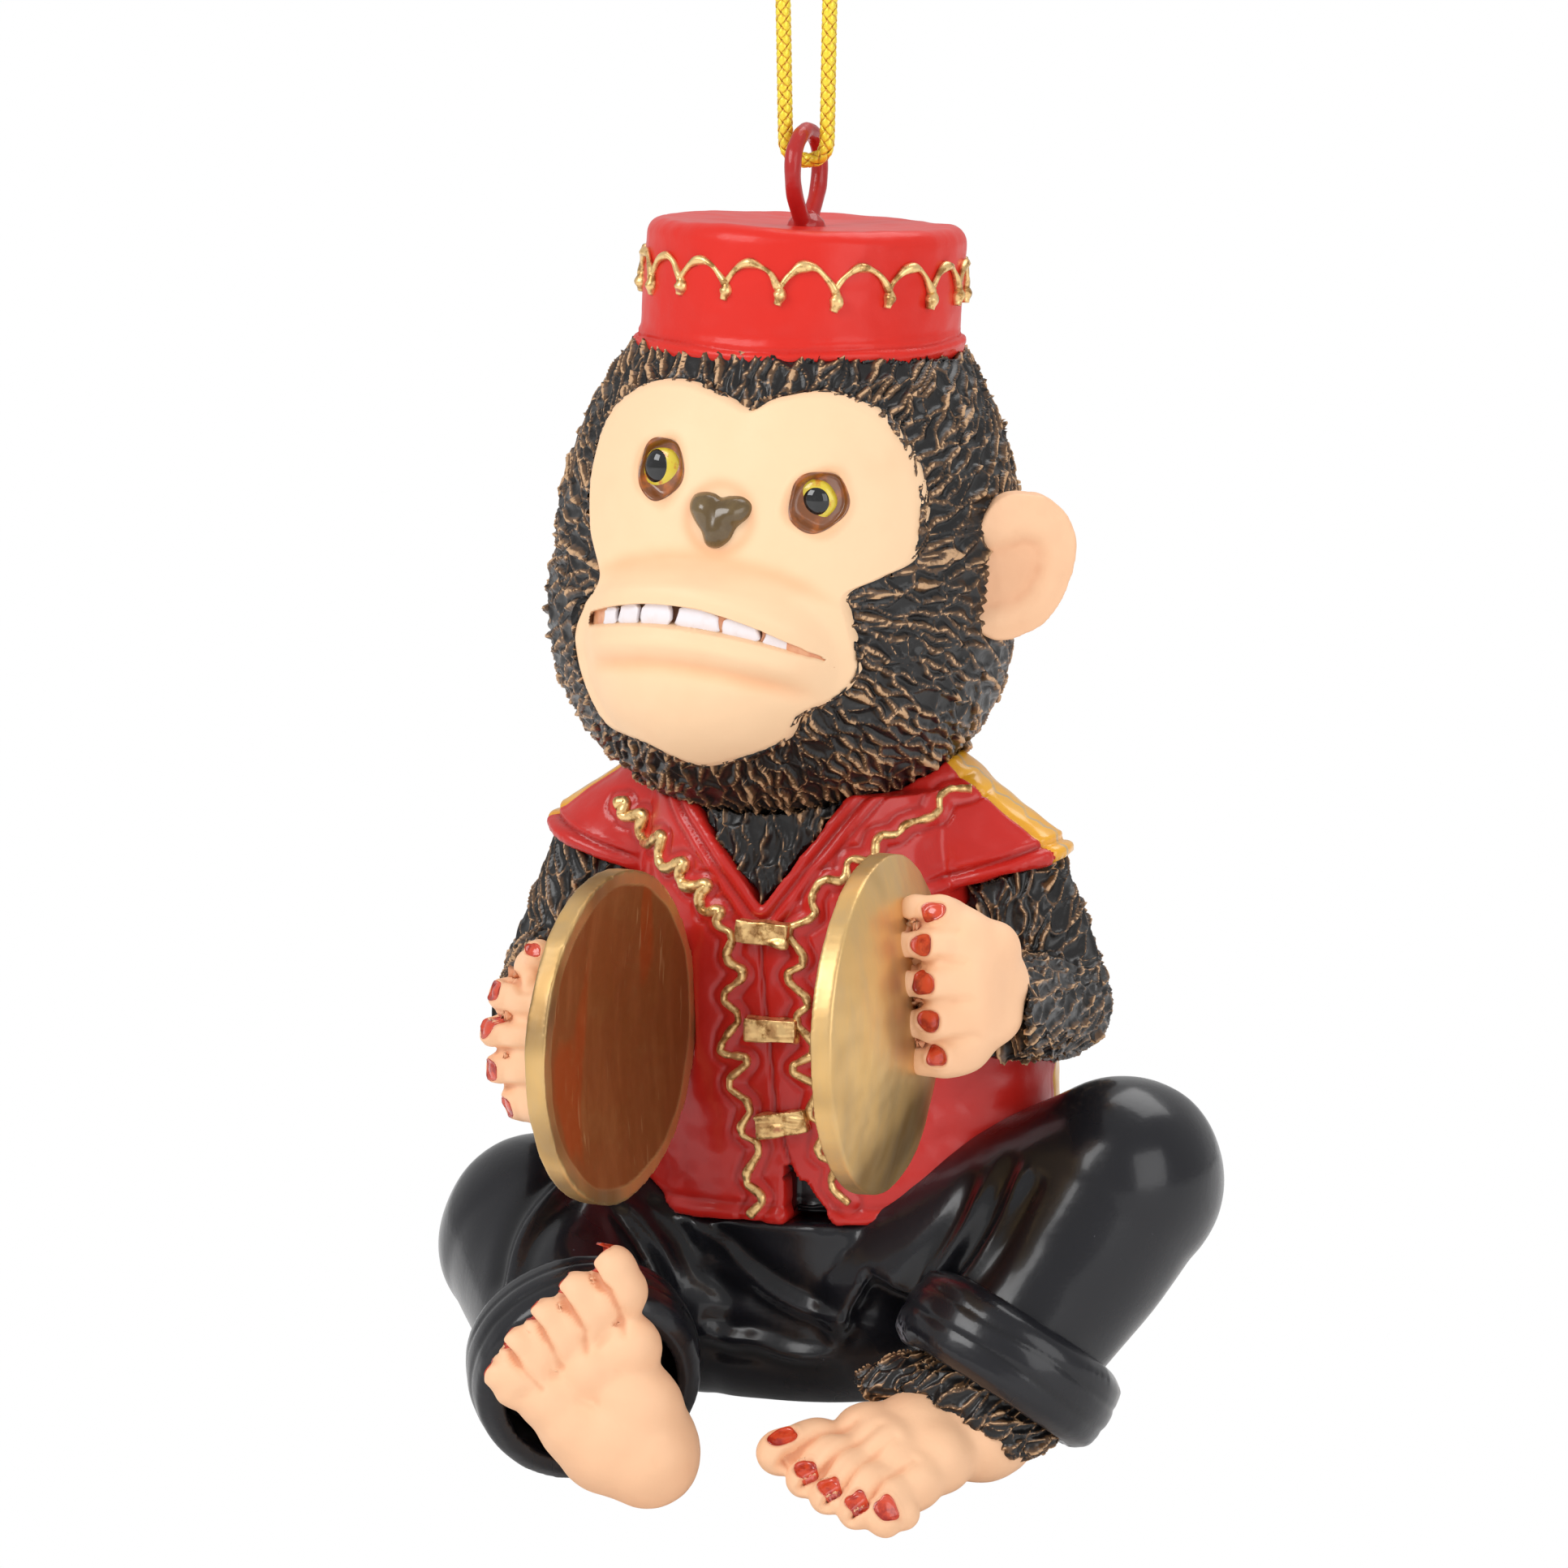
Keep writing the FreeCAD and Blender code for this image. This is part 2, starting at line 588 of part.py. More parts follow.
def torso_profile(inset=0.0):
    """Half outline of the vest: hem a little wider than the waist, shoulders drawn in to the collar."""
    half = size("torso_depth") / 2 - inset
    collar = size("collar_radius") - inset
    tall = size("vest_height")
    return [
        Part.makeLine(Vector(0, 0, 0), Vector(half + 0.3, 0, 0)),
        Part.makeLine(Vector(half + 0.3, 0, 0), Vector(half, 0, tall * 0.3)),
        Part.makeLine(Vector(half, 0, tall * 0.3), Vector(half, 0, tall * 0.68)),
        arc(Vector(half, 0, tall * 0.68), Vector(half - 0.45, 0, tall * 0.86), Vector(collar, 0, tall)),
        Part.makeLine(Vector(collar, 0, tall), Vector(0, 0, tall)),
        Part.makeLine(Vector(0, 0, tall), Vector(0, 0, 0)),
    ]


torso_place = at(body_centre.x, body_centre.y, hem_level)
torso_form = feature("TorsoForm", stadium(torso_profile(), torso_core, torso_place))
chest_form = feature("ChestForm", stadium(torso_profile(size("fur_inset")), torso_core, torso_place))

shoulder_level = collar_level - 7.6
shoulders = {}
yoke_roots = {}
sleeves = {}


def yoke_form(side, proud=0.0):
    """The round of the vest over one shoulder."""
    first = size("shoulder_radius") + 0.8 + proud
    return limb((yoke_roots[side], first), (shoulders[side], size("shoulder_radius") + proud))


for side, sign in (("right", -1), ("left", 1)):
    shoulders[side] = at(sign * size("shoulder_span") / 2, 0.8, shoulder_level)
    yoke_roots[side] = at(sign * size("torso_width") * 0.3, 0.6, collar_level - 2.4)
    below = Part.makeBox(60, 60, 20, Vector(-30, -30, -20 + size("sleeve_hem")))
    below.Placement = Placement(shoulders[side], Rotation(Vector(0, 1, 0), -sign * size("sleeve_slope")))
    sleeves[side] = feature(f"{side}Sleeve", yoke_form(side).cut(below))
vest_form = fuse("VestForm", torso_form, sleeves["right"], sleeves["left"])

neck_form = doc.addObject("Part::Cone", "NeckForm")
bind(neck_form, Radius1="Sizes.neck_radius", Radius2="Sizes.neck_radius - 1.5")
neck_form.Height = 14
neck_form.Placement = Placement(at(0, -0.8, collar_level - 9.0), Rotation())

half_vee = size("vee_width") / 2
tip = Vector(0.4, 0, collar_level - size("vee_depth"))
vee_points = [
    Vector(-half_vee, 0, collar_level + 1.0),
    tip,
    Vector(half_vee, 0, collar_level + 1.0),
    Vector(-half_vee, 0, collar_level + 1.0),
]
vee_prism = Part.Face(Part.makePolygon(vee_points)).extrude(Vector(0, -20, 0))
vee_prism.translate(Vector(0, -4, sole_level))
vee_form = feature("VeeForm", vee_prism)
chest_fur = common("ChestFur", vee_form, chest_form)
neck_fur = sub_part("neck_fur", cut("NeckFur", fuse("NeckMass", neck_form, chest_fur), head_form))

back_space = doc.addObject("Part::Box", "BackSpace")
back_space.Length, back_space.Width, back_space.Height = 80, 40, 60
seam_turn = Rotation(Vector(1, 0, 0), size("seam_lean"))
back_space.Placement = Placement(at(-40, size("vest_seam"), hem_level - 5), seam_turn)

slit_left = 2.3
slit_points = [
    Vector(slit_left, 0, hem_level - 0.1),
    Vector(slit_left, 0, hem_level + size("slit_height")),
    Vector(slit_left + size("slit_top"), 0, hem_level + size("slit_height")),
    Vector(slit_left + size("slit_width"), 0, hem_level - 0.1),
    Vector(slit_left, 0, hem_level - 0.1),
]
slit_prism = Part.Face(Part.makePolygon(slit_points)).extrude(Vector(0, -20, 0))
slit_prism.translate(Vector(0, -9.6, sole_level))
slit_form = feature("SlitForm", slit_prism)


# ---------------------------------------------------------------- trousers, cuffs
def seat_profile():
    """Half outline of the seat: rounded underneath, full at the hips, flat where the vest stands."""
    half = size("seat_depth") / 2
    tall = size("seat_height")
    return [
        Part.makeLine(Vector(0, 0, 0), Vector(half * 0.6, 0, 0)),
        arc(Vector(half * 0.6, 0, 0), Vector(half * 0.91, 0, tall * 0.17), Vector(half, 0, tall * 0.5)),
        Part.makeLine(Vector(half, 0, tall * 0.5), Vector(half, 0, tall)),
        Part.makeLine(Vector(half, 0, tall), Vector(0, 0, tall)),
        Part.makeLine(Vector(0, 0, tall), Vector(0, 0, 0)),
    ]


seat_core = size("seat_width") - size("seat_depth")
seat_form = feature(
    "SeatForm", stadium(seat_profile(), seat_core, at(body_centre.x, body_centre.y, size("seat_drop")))
)
trousers_seat = sub_part("trousers_seat", seat_form)

# the skeleton of each leg: hip, knee, middle of the cuff
LEGS = {
    "left": (
        at(8.5, -4.0, hem_level - 6.5),
        at(27.6, -6.0, hem_level + 4.2),
        at(20.8, -12.4, hem_level - 8.9),
    ),
    "right": (
        at(-6.5, -4.5, hem_level - 7.0),
        at(-18.6, -8.8, hem_level - 3.4),
        at(-9.8, -22.4, hem_level - 9.8),
    ),
}
leg_forms = {}
cuffs = {}
for side, (hip, knee, cuff_middle) in LEGS.items():
    shin = (cuff_middle - knee).normalize()
    leg = limb(
        (hip, size("thigh_radius")),
        (knee, size("knee_radius")),
        (cuff_middle - shin * size("cuff_width") * 0.5, size("shin_radius")),
    )
    end = Part.makeCylinder(size("shin_radius") + 6, 20, cuff_middle, shin)
    core = Part.makeCylinder(size("shin_radius"), size("cuff_width") * 0.5, cuff_middle - shin * size("cuff_width") * 0.5, shin)
    leg_forms[side] = feature(f"{side}LegForm", leg.fuse(core).cut(end).removeSplitter())

    width = size("cuff_width")
    outer = size("cuff_radius")
    inner = size("shin_radius")
    soft = 0.9
    profile = segments(
        Vector(inner, 0, -width / 2),
        Vector(outer - soft, 0, -width / 2),
        Vector(outer, 0, -width / 2 + soft),
        Vector(outer, 0, width / 2 - soft),
        Vector(outer - soft, 0, width / 2),
        Vector(inner, 0, width / 2),
        Vector(inner, 0, -width / 2),
    )
    cuff_shape = turned(profile)
    cuff_shape.Placement = Placement(cuff_middle, aim(shin))
    cuffs[side] = feature(f"{side}CuffForm", cuff_shape)

for side in LEGS:
    sub_part(f"{side}_trouser_leg", cut(f"{side}Leg", leg_forms[side], seat_form))
    sub_part(f"{side}_cuff", cut(f"{side}Cuff", cuffs[side], leg_forms[side], seat_form))

vest_clear = cut(
    "VestClear",
    vest_form,
    neck_form,
    vee_form,
    head_form,
    slit_form,
    leg_forms["left"],
    leg_forms["right"],
)
vest_back = sub_part("vest_back", common("VestBack", vest_clear, back_space))
head = sub_part("head", cut("Head", head_form, hat, neck_form, *eyes))


# ---------------------------------------------------------------- toggles
torso_front = body_centre.y - size("torso_depth") / 2
toggles = []
for index, (name, x, turn) in enumerate((("bottom", 2.6, -12), ("middle", 1.5, 0), ("top", 0.8, 3))):
    bar = doc.addObject("Part::Box", f"{name}ToggleBar")
    bind(bar, Length="Sizes.toggle_length", Width="Sizes.toggle_thickness + 1", Height="Sizes.toggle_width")
    level = hem_level + 6.6 + index * size("toggle_pitch")
    bar.Placement = Placement(
        at(x - size("toggle_length") / 2, torso_front - size("toggle_thickness") + 0.1, level), Rotation(Vector(0, 1, 0), turn)
    )
    toggles.append(sub_part(f"{name}_toggle", cut(f"{name}Toggle", bar, vest_form)))


# ---------------------------------------------------------------- arms, hands, cymbals
cymbal_places = {}
CYMBAL_LEVELS = {"left": 39.0, "right": 36.5}
CYMBAL_TURNS = {"left": 0.0, "right": 6.0}


def cap_height(radius, rise, out):
    """Height of a shallow spherical cap at a distance from its axis."""
    ball = (radius * radius + rise * rise) / (2 * rise)
    return rise - ball + math.sqrt(ball * ball - out * out)


def make_cymbal():
    """A turned cymbal, rim at z = 0, domed outside towards +Z, hollowed inside."""
    radius = size("cymbal_diameter") / 2
    rim = size("cymbal_rim")
    dome = size("cymbal_dome")
    hollow = size("cymbal_hollow")
    inside = radius - size("cymbal_border")
    body = doc.addObject("PartDesign::Body", "CymbalBody")
    plane = next(f for f in body.Origin.OriginFeatures if f.Role == "XZ_Plane")
    sketch = body.newObject("Sketcher::SketchObject", "CymbalProfile")
    sketch.AttachmentSupport = [(plane, "")]
    sketch.MapMode = "FlatFace"
    corners = [
        Vector(0, hollow, 0),
        Vector(inside, 0.0, 0),
        Vector(radius, 0.0, 0),
        Vector(radius, rim, 0),
        Vector(0, rim + dome, 0),
    ]
    half_hollow = Vector(inside / 2, cap_height(inside, hollow, inside / 2), 0)
    half_dome = Vector(radius / 2, rim + cap_height(radius, dome, radius / 2), 0)
    sketch.addGeometry(Part.Arc(corners[0], half_hollow, corners[1]), False)
    sketch.addGeometry(Part.LineSegment(corners[1], corners[2]), False)
    sketch.addGeometry(Part.LineSegment(corners[2], corners[3]), False)
    sketch.addGeometry(Part.Arc(corners[3], half_dome, corners[4]), False)
    sketch.addGeometry(Part.LineSegment(corners[4], corners[0]), False)
    turn = body.newObject("PartDesign::Revolution", "CymbalTurn")
    turn.Profile = sketch
    turn.ReferenceAxis = (sketch, ["V_Axis"])
    turn.Angle = 360
    body.Tip = turn
    return body


def finger_angle(index):
    """The five fingers fan out a little from top to bottom."""
    return (index - 2) * 7.0


for side, sign in (("right", -1), ("left", 1)):
    middle = at(
        size("cymbal_middle") + sign * size("cymbal_gap") / 2,
        -size("cymbal_forward"),
        CYMBAL_LEVELS[side],
    )
    cymbal = make_cymbal()
    swivel = Rotation(Vector(0, 0, 1), -CYMBAL_TURNS[side])
    cymbal.Placement = Placement(middle, swivel.multiply(aim(Vector(sign, 0, 0))))
    sub_part(f"{side}_cymbal", cymbal)

    hand_level = CYMBAL_LEVELS[side] + 1.5
    finger_root = middle + Vector(sign * (size("cymbal_rim") + size("finger_length")), 1.6, 1.5)
    pitch = size("hand_height") / 5
    finger_radius = pitch * size("finger_fill")
    fingers = []
    nails = []
    for index in range(5):
        fan = math.radians(finger_angle(index))
        direction = Vector(-sign * math.cos(fan), -0.12, math.sin(fan) * 0.5).normalize()
        start = finger_root + Vector(sign * 2.2, 0, (index - 2) * pitch * 0.9)
        finger = Part.makeCylinder(finger_radius, size("finger_length") + 2.6, start, direction)
        fingers.append(finger)
        nail_start = start + direction * (size("finger_length") + 0.4) + Vector(0, 0.15 - finger_radius, 0)
        nails.append(Part.makeCylinder(size("nail_width") / 2, size("nail_thickness") + 0.15, nail_start, Vector(0, -1, 0)))
    palm_height = size("hand_height") * 0.96
    palm = Part.makeCylinder(size("palm_radius"), palm_height)
    palm = palm.makeChamfer(size("palm_radius") * 0.35, [palm.Edges[0], palm.Edges[2]])
    palm.translate(finger_root + Vector(sign * size("palm_radius"), 1.1, -palm_height / 2))
    fist = palm.multiFuse(fingers)
    fist_form = feature(f"{side}Fist", fist)
    wrist = finger_root + Vector(sign * 2.9, 3.1, -1.0)
    elbow = Vector(sign * size("elbow_span") / 2, 0.2, shoulders[side].z - size("elbow_drop"))
    arm_form = feature(
        f"{side}ArmForm",
        limb(
            (shoulders[side], size("arm_radius")),
            (elbow, size("arm_radius")),
            (wrist, size("wrist_radius")),
        ),
    )
    nail_form = feature(f"{side}NailForm", Part.makeCompound(nails))
    sub_part(f"{side}_fingernails", cut(f"{side}Nails", nail_form, fist_form, cymbal))
    sub_part(f"{side}_hand", cut(f"{side}Hand", fist_form, cymbal))
    sub_part(f"{side}_arm", cut(f"{side}Arm", arm_form, vest_form, fist_form, leg_forms[side]))


vest_front = sub_part("vest_front", cut("VestFront", vest_clear, back_space, parts["right_cymbal"], parts["left_cymbal"]))


# the corners the gold line turns at, seen from in front: towards the figure's left, above the toes
BRAID = {
    "right": [
        (-14.0, 50.8), (-13.1, 51.0), (-13.2, 50.0), (-11.4, 50.2), (-11.7, 49.1), (-10.7, 48.3),
        (-8.7, 49.3), (-8.8, 47.9), (-8.0, 47.1), (-6.3, 47.7), (-6.5, 46.8), (-5.8, 46.0),
        (-4.1, 46.3), (-4.6, 45.4), (-4.2, 44.3), (-2.9, 44.4), (-3.1, 43.4), (-1.9, 42.5),
        (-2.2, 40.8), (-1.0, 39.6), (-2.5, 37.8), (-1.4, 36.3), (-2.4, 34.6), (-2.6, 33.4),
        (-0.7, 32.9), (-2.1, 31.0), (-0.5, 29.4), (-1.1, 27.4), (0.3, 26.2), (-0.6, 23.8),
        (0.6, 22.4), (-0.3, 21.0),
    ],
    "left": [
        (14.3, 53.4), (12.6, 53.2), (12.3, 51.8), (10.8, 51.3), (10.2, 50.6), (9.1, 50.4),
        (8.7, 48.9), (7.3, 48.8), (6.9, 47.4), (5.4, 47.2), (4.6, 45.8), (4.7, 44.5), (2.9, 43.2),
        (4.0, 41.1), (2.8, 39.7), (4.3, 37.9), (3.5, 36.4), (4.8, 34.2), (3.2, 32.6), (5.0, 31.2),
        (4.5, 29.3), (5.5, 28.1), (5.2, 26.2), (6.4, 25.3), (6.2, 23.7), (7.4, 22.3),
    ],
}


def make_braid(corners):
    """A flat zigzag strip through the corners, as a prism towards the front of the vest."""
    width = size("braid_width")
    depth = 16
    bars = []
    for (x, z), (next_x, next_z) in zip(corners, corners[1:]):
        length = math.hypot(next_x - x, next_z - z)
        bar = Part.makeBox(length + width, depth, width, Vector(-width / 2, 0, -width / 2))
        bar.rotate(Vector(), Vector(0, 1, 0), -math.degrees(math.atan2(next_z - z, next_x - x)))
        bar.translate(at(x, -depth, z))
        bars.append(bar)
    return bars[0].multiFuse(bars[1:])


proud = size("braid_proud")
braid_shell = stadium(torso_profile(-proud), torso_core, torso_place)
for side in shoulders:
    braid_shell = braid_shell.fuse(yoke_form(side, proud))
for side, corners in BRAID.items():
    strip = feature(f"{side}BraidForm", make_braid(corners).common(braid_shell))
    sub_part(f"{side}_vest_braid", cut(f"{side}Braid", strip, vest_form, *toggles))


# ---------------------------------------------------------------- feet
FEET = {
    # towards the toes, towards the big toe, where the ankle stands
    "left": (Vector(-0.64, -0.76, -0.03), Vector(-0.70, 0.58, 0.42), at(18.2, -15.4, 3.0)),
    "right": (Vector(-0.42, -0.10, 0.90), Vector(0.86, 0.28, 0.43), at(-3.6, -29.6, 5.4)),
}


def foot_frame(side):
    """The foot's own frame: X towards the toes, Y towards the big toe, Z out of the back of the foot."""
    forward, inner, ankle = FEET[side]
    forward = Vector(forward).normalize()
    up = forward.cross(inner).normalize()
    if side == "left":
        up = up * -1
    return forward, up, ankle


def frame_matrix(x_axis, y_axis, z_axis, base):
    return FreeCAD.Matrix(
        x_axis.x, y_axis.x, z_axis.x, base.x,
        x_axis.y, y_axis.y, z_axis.y, base.y,
        x_axis.z, y_axis.z, z_axis.z, base.z,
        0, 0, 0, 1,
    )


def make_foot(side):
    """Sole, instep and five toes; the heel is behind the ankle."""
    forward, up, ankle = foot_frame(side)
    inner_sign = -1 if side == "left" else 1
    across = up.cross(forward)
    thick = size("foot_thickness")
    wide = size("foot_width")
    ball = size("foot_length") - size("toe_length") - 5.0
    heel = 4.4
    edges = [
        arc(Vector(0, -heel, 0), Vector(-heel, 0, 0), Vector(0, heel, 0)),
        Part.makeLine(Vector(0, heel, 0), Vector(ball, wide / 2, 0)),
        arc(Vector(ball, wide / 2, 0), Vector(ball + 1.6, 0, 0), Vector(ball, -wide / 2, 0)),
        Part.makeLine(Vector(ball, -wide / 2, 0), Vector(0, -heel, 0)),
    ]
    sole = Part.Face(Part.Wire(edges)).extrude(Vector(0, 0, thick))
    sole = sole.makeChamfer(0.9, [e for e in sole.Edges])
    toes = []
    nails = []
    toe_pitch = wide / 5
    for index in range(5):
        radius = (1.55, 1.3, 1.2, 1.15, 1.15)[index]
        y = inner_sign * (wide / 2 - toe_pitch * (index + 0.5)) * 1.02
        length = size("toe_length") * (1.0, 0.92, 0.82, 0.7, 0.55)[index]
        toe = Part.makeCylinder(radius, length + 3, Vector(ball - 3, y, radius + 0.4), Vector(1, 0, 0.02))
        toe = toe.makeChamfer(radius * 0.45, [toe.Edges[0]])
        toes.append(toe)
        nail_base = Vector(ball + length - radius * 0.45 - size("toenail_width") / 2, y, 2 * radius + 0.2)
        nails.append(Part.makeCylinder(size("toenail_width") / 2, size("nail_thickness") + 0.15, nail_base))
    instep = Part.makeCone(4.3, 3.7, thick + 0.9, Vector(0.8, 0, 0.6), Vector(0, 0, 1))
    shape = sole.multiFuse(toes + [instep])
    return shape, Part.makeCompound(nails), Placement(frame_matrix(forward, across, up, ankle))


foot_forms = {}
for side in LEGS:
    shape, nails, foot_place = make_foot(side)
    up = foot_place.Rotation.multVec(Vector(0, 0, 1))
    ankle = foot_place.Base
    foot_forms[side] = feature(f"{side}FootForm", shape, foot_place)
    nail_form = feature(f"{side}ToenailForm", nails, foot_place)
    sub_part(f"{side}_toenails", cut(f"{side}Toenails", nail_form, foot_forms[side], cuffs[side]))
    hip, knee, cuff_middle = LEGS[side]
    shin = (cuff_middle - knee).normalize()
    reach = ankle + up * (size("foot_thickness") * 0.75)
    ankle_form = feature(
        f"{side}AnkleForm",
        Part.makeCone(
            size("ankle_radius"), size("ankle_radius") - 0.6, (reach - cuff_middle).Length, cuff_middle, reach - cuff_middle
        ),
    )
    ankle_fur = sub_part(f"{side}_ankle_fur", cut(f"{side}Ankle", ankle_form, leg_forms[side], cuffs[side]))
    sub_part(f"{side}_foot", cut(f"{side}Foot", foot_forms[side], cuffs[side], leg_forms[side], ankle_form))

# ---------------------------------------------------------------- cord loop
cord_radius = size("cord_diameter") / 2
bight = size("eye_wire") / 2 + size("cord_clearance") + cord_radius
knot_radius = size("knot_diameter") / 2
knot_centre = Vector(0, 0, knot_radius * 0.9)
# one strand from the knot down to the eye, in the plane across the eye's wire: (out, below the loop's top)
STRAND = [(0.75, -0.6), (2.1, -12.0), (2.5, -30.0), (1.9, -48.0)]


def fillet_arc(before, corner, after, share=0.45):
    """Arc that rounds a corner of the route, as large as the shorter run allows, and its radius."""
    u = (before - corner)
    v = (after - corner)
    shorter = min(u.Length, v.Length)
    u.normalize()
    v.normalize()
    trim = shorter * share
    a = corner + u * trim
    b = corner + v * trim
    half_turn = (math.pi - u.getAngle(v)) / 2
    radius = trim / math.tan(half_turn)
    middle_way = (u + v).normalize()
    middle = corner + middle_way * (radius / math.cos(half_turn) - radius)
    return arc(a, middle, b), a, b, radius


def make_cord():
    """The whole loop: down one side, round the eye's wire, up the other side."""
    eye_top = -size("loop_length")
    left = [Vector(-x, 0, z) for x, z in STRAND]
    left.append(Vector(-bight, 0, eye_top))
    edges = []
    start = left[0]
    radii = []
    for before, corner, after in zip(left, left[1:], left[2:]):
        bend, a, b, radius = fillet_arc(before, corner, after)
        edges.append(Part.makeLine(start, a))
        edges.append(bend)
        radii.append(round(radius, 1))
        start = b
    # the strand meets the half turn round the wire at the tangent point
    end = left[-1]
    run = (end - left[-2]).normalize()
    side = Vector(run.z, 0, -run.x)
    centre = Vector(0, 0, eye_top)
    touch = centre - side * bight if side.x > 0 else centre + side * bight
    mirror = Vector(-touch.x, 0, touch.z)
    edges.append(Part.makeLine(start, touch))
    half = len(edges)
    edges.append(arc(touch, centre - Vector(0, 0, bight), mirror))
    for edge in edges[:half][::-1]:
        other = edge.mirror(Vector(), Vector(1, 0, 0))
        edges.append(other)
    path = Part.Wire(Part.__sortEdges__(edges))
    ring_of_cord = Part.Wire([Part.Circle(left[0], left[1] - left[0], cord_radius).toShape()])
    tube = path.makePipeShell([ring_of_cord], True, True, 1)
    print("cord length", round(path.Length, 1), "radii", radii, "bight", bight)
    print("tube volume over section times length", round(tube.Volume / (math.pi * cord_radius**2 * path.Length), 4))
    return tube


knot = doc.addObject("Part::Sphere", "Knot")
bind(knot, Radius="Sizes.knot_diameter / 2")
knot.Placement = Placement(knot_centre, Rotation())
sub_part("cord_knot", knot)
cord_form = feature("CordForm", make_cord())
sub_part("hanging_cord", cut("HangingCord", cord_form, knot))

doc.recompute()

# ---------------------------------------------------------------- checks and files
for obj in doc.Objects:
    if "Invalid" in obj.State or "Error" in obj.State:
        raise RuntimeError(f"{obj.Name} failed to build: {obj.State}")
os.makedirs("parts", exist_ok=True)
for label, obj in parts.items():
    shape = obj.Shape
    if shape.isNull() or not shape.isValid() or not shape.Solids:
        raise RuntimeError(f"{label} isn't a valid solid")
    print(f"{label:22s} solids {len(shape.Solids)} volume {shape.Volume:9.2f}")
    shape.exportStep(f"parts/{label}.step")
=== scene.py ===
# %% [markdown]
# # A cast resin monkey with two cymbals, on a loop of gold cord
#
# The real thing is a small hanging figure. It is cast in resin in one block, painted by hand, and
# hung by a screw eye in the hat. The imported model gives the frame: every piece below is built where
# its solid stands, in metres, and the solids stay for the physics.
#
# Heights are easiest to think of in millimetres above the lowest toe, so `at` turns such a point into
# the model's own metres, which count down from the top of the cord loop.

# %% Load the frame
import math

import bmesh
import bpy
import numpy as np
from mathutils import Matrix, Vector
from mathutils.bvhtree import BVHTree
from mathutils.kdtree import KDTree


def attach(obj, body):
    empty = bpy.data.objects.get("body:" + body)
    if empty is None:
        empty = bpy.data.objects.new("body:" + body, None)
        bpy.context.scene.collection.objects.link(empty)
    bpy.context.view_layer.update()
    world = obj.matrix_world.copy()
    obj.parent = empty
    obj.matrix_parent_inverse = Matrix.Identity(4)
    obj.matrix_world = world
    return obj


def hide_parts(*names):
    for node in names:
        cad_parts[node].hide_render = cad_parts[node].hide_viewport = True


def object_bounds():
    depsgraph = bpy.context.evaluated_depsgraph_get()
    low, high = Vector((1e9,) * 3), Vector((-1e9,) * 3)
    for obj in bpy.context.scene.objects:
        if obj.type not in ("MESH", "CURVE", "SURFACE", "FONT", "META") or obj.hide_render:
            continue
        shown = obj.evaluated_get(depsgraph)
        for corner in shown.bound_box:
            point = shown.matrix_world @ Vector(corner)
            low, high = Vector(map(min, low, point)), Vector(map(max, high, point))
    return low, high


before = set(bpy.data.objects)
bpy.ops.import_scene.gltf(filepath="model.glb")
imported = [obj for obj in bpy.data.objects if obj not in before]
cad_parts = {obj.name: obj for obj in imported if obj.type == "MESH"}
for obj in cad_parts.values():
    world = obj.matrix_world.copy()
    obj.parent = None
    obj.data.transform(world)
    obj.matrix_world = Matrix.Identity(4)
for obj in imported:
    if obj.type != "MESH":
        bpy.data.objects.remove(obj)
cad_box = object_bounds()
MM = 0.001
TOE_LEVEL = -0.16235
TO_FIGURE = np.array((0, 0, TOE_LEVEL / MM))
BODY = "monkey"
CORD_BODY = "hanger"
SIGNS = {"right": -1, "left": 1}


def at(x, y, z):
    return Vector((x * MM, y * MM, TOE_LEVEL + z * MM))


def linked(name, data):
    """A new object, linked to the scene."""
    obj = bpy.data.objects.new(name, data)
    bpy.context.scene.collection.objects.link(obj)
    return obj


print("whole box in mm", [[round(c / MM, 1) for c in corner] for corner in cad_box])

# %% [markdown]
# ## The camera
#
# A small object looks right when it is seen from a fair distance with a long lens: the far knee is
# then hardly smaller than the near one. The camera stands a little to the figure's left and looks
# slightly down, and a plain function of angle and distance places it, so that it can be changed
# by changing one number.

# %% Camera
AZIMUTH = math.radians(20)
ELEVATION = math.radians(10)
DISTANCE = 0.7
LENS = 208.7
AIM_LEVEL = 52.5
AIM_ASIDE = 1.7

towards_camera = Vector((0, -1, 0))
towards_camera.rotate(Matrix.Rotation(AZIMUTH, 3, "Z") @ Matrix.Rotation(-ELEVATION, 3, "X"))
camera_right = Vector((math.cos(AZIMUTH), math.sin(AZIMUTH), 0))
camera_data = bpy.data.cameras.new("Camera")
camera_data.lens = LENS
camera_data.sensor_width = 36
camera_data.clip_start = 0.05
camera = linked("Camera", camera_data)
camera.location = at(0, 0, AIM_LEVEL) - camera_right * AIM_ASIDE * MM + towards_camera * DISTANCE
camera.rotation_euler = towards_camera.to_track_quat("Z", "Y").to_euler()
bpy.context.scene.camera = camera
print("camera at", [round(c, 3) for c in camera.location])

# %% [markdown]
# ## Writing node trees as sums
#
# A material or a Geometry Nodes tree is a graph, but most of it is arithmetic. `Signal` wraps the
# output of a node, and Python's own signs then add the Math nodes.

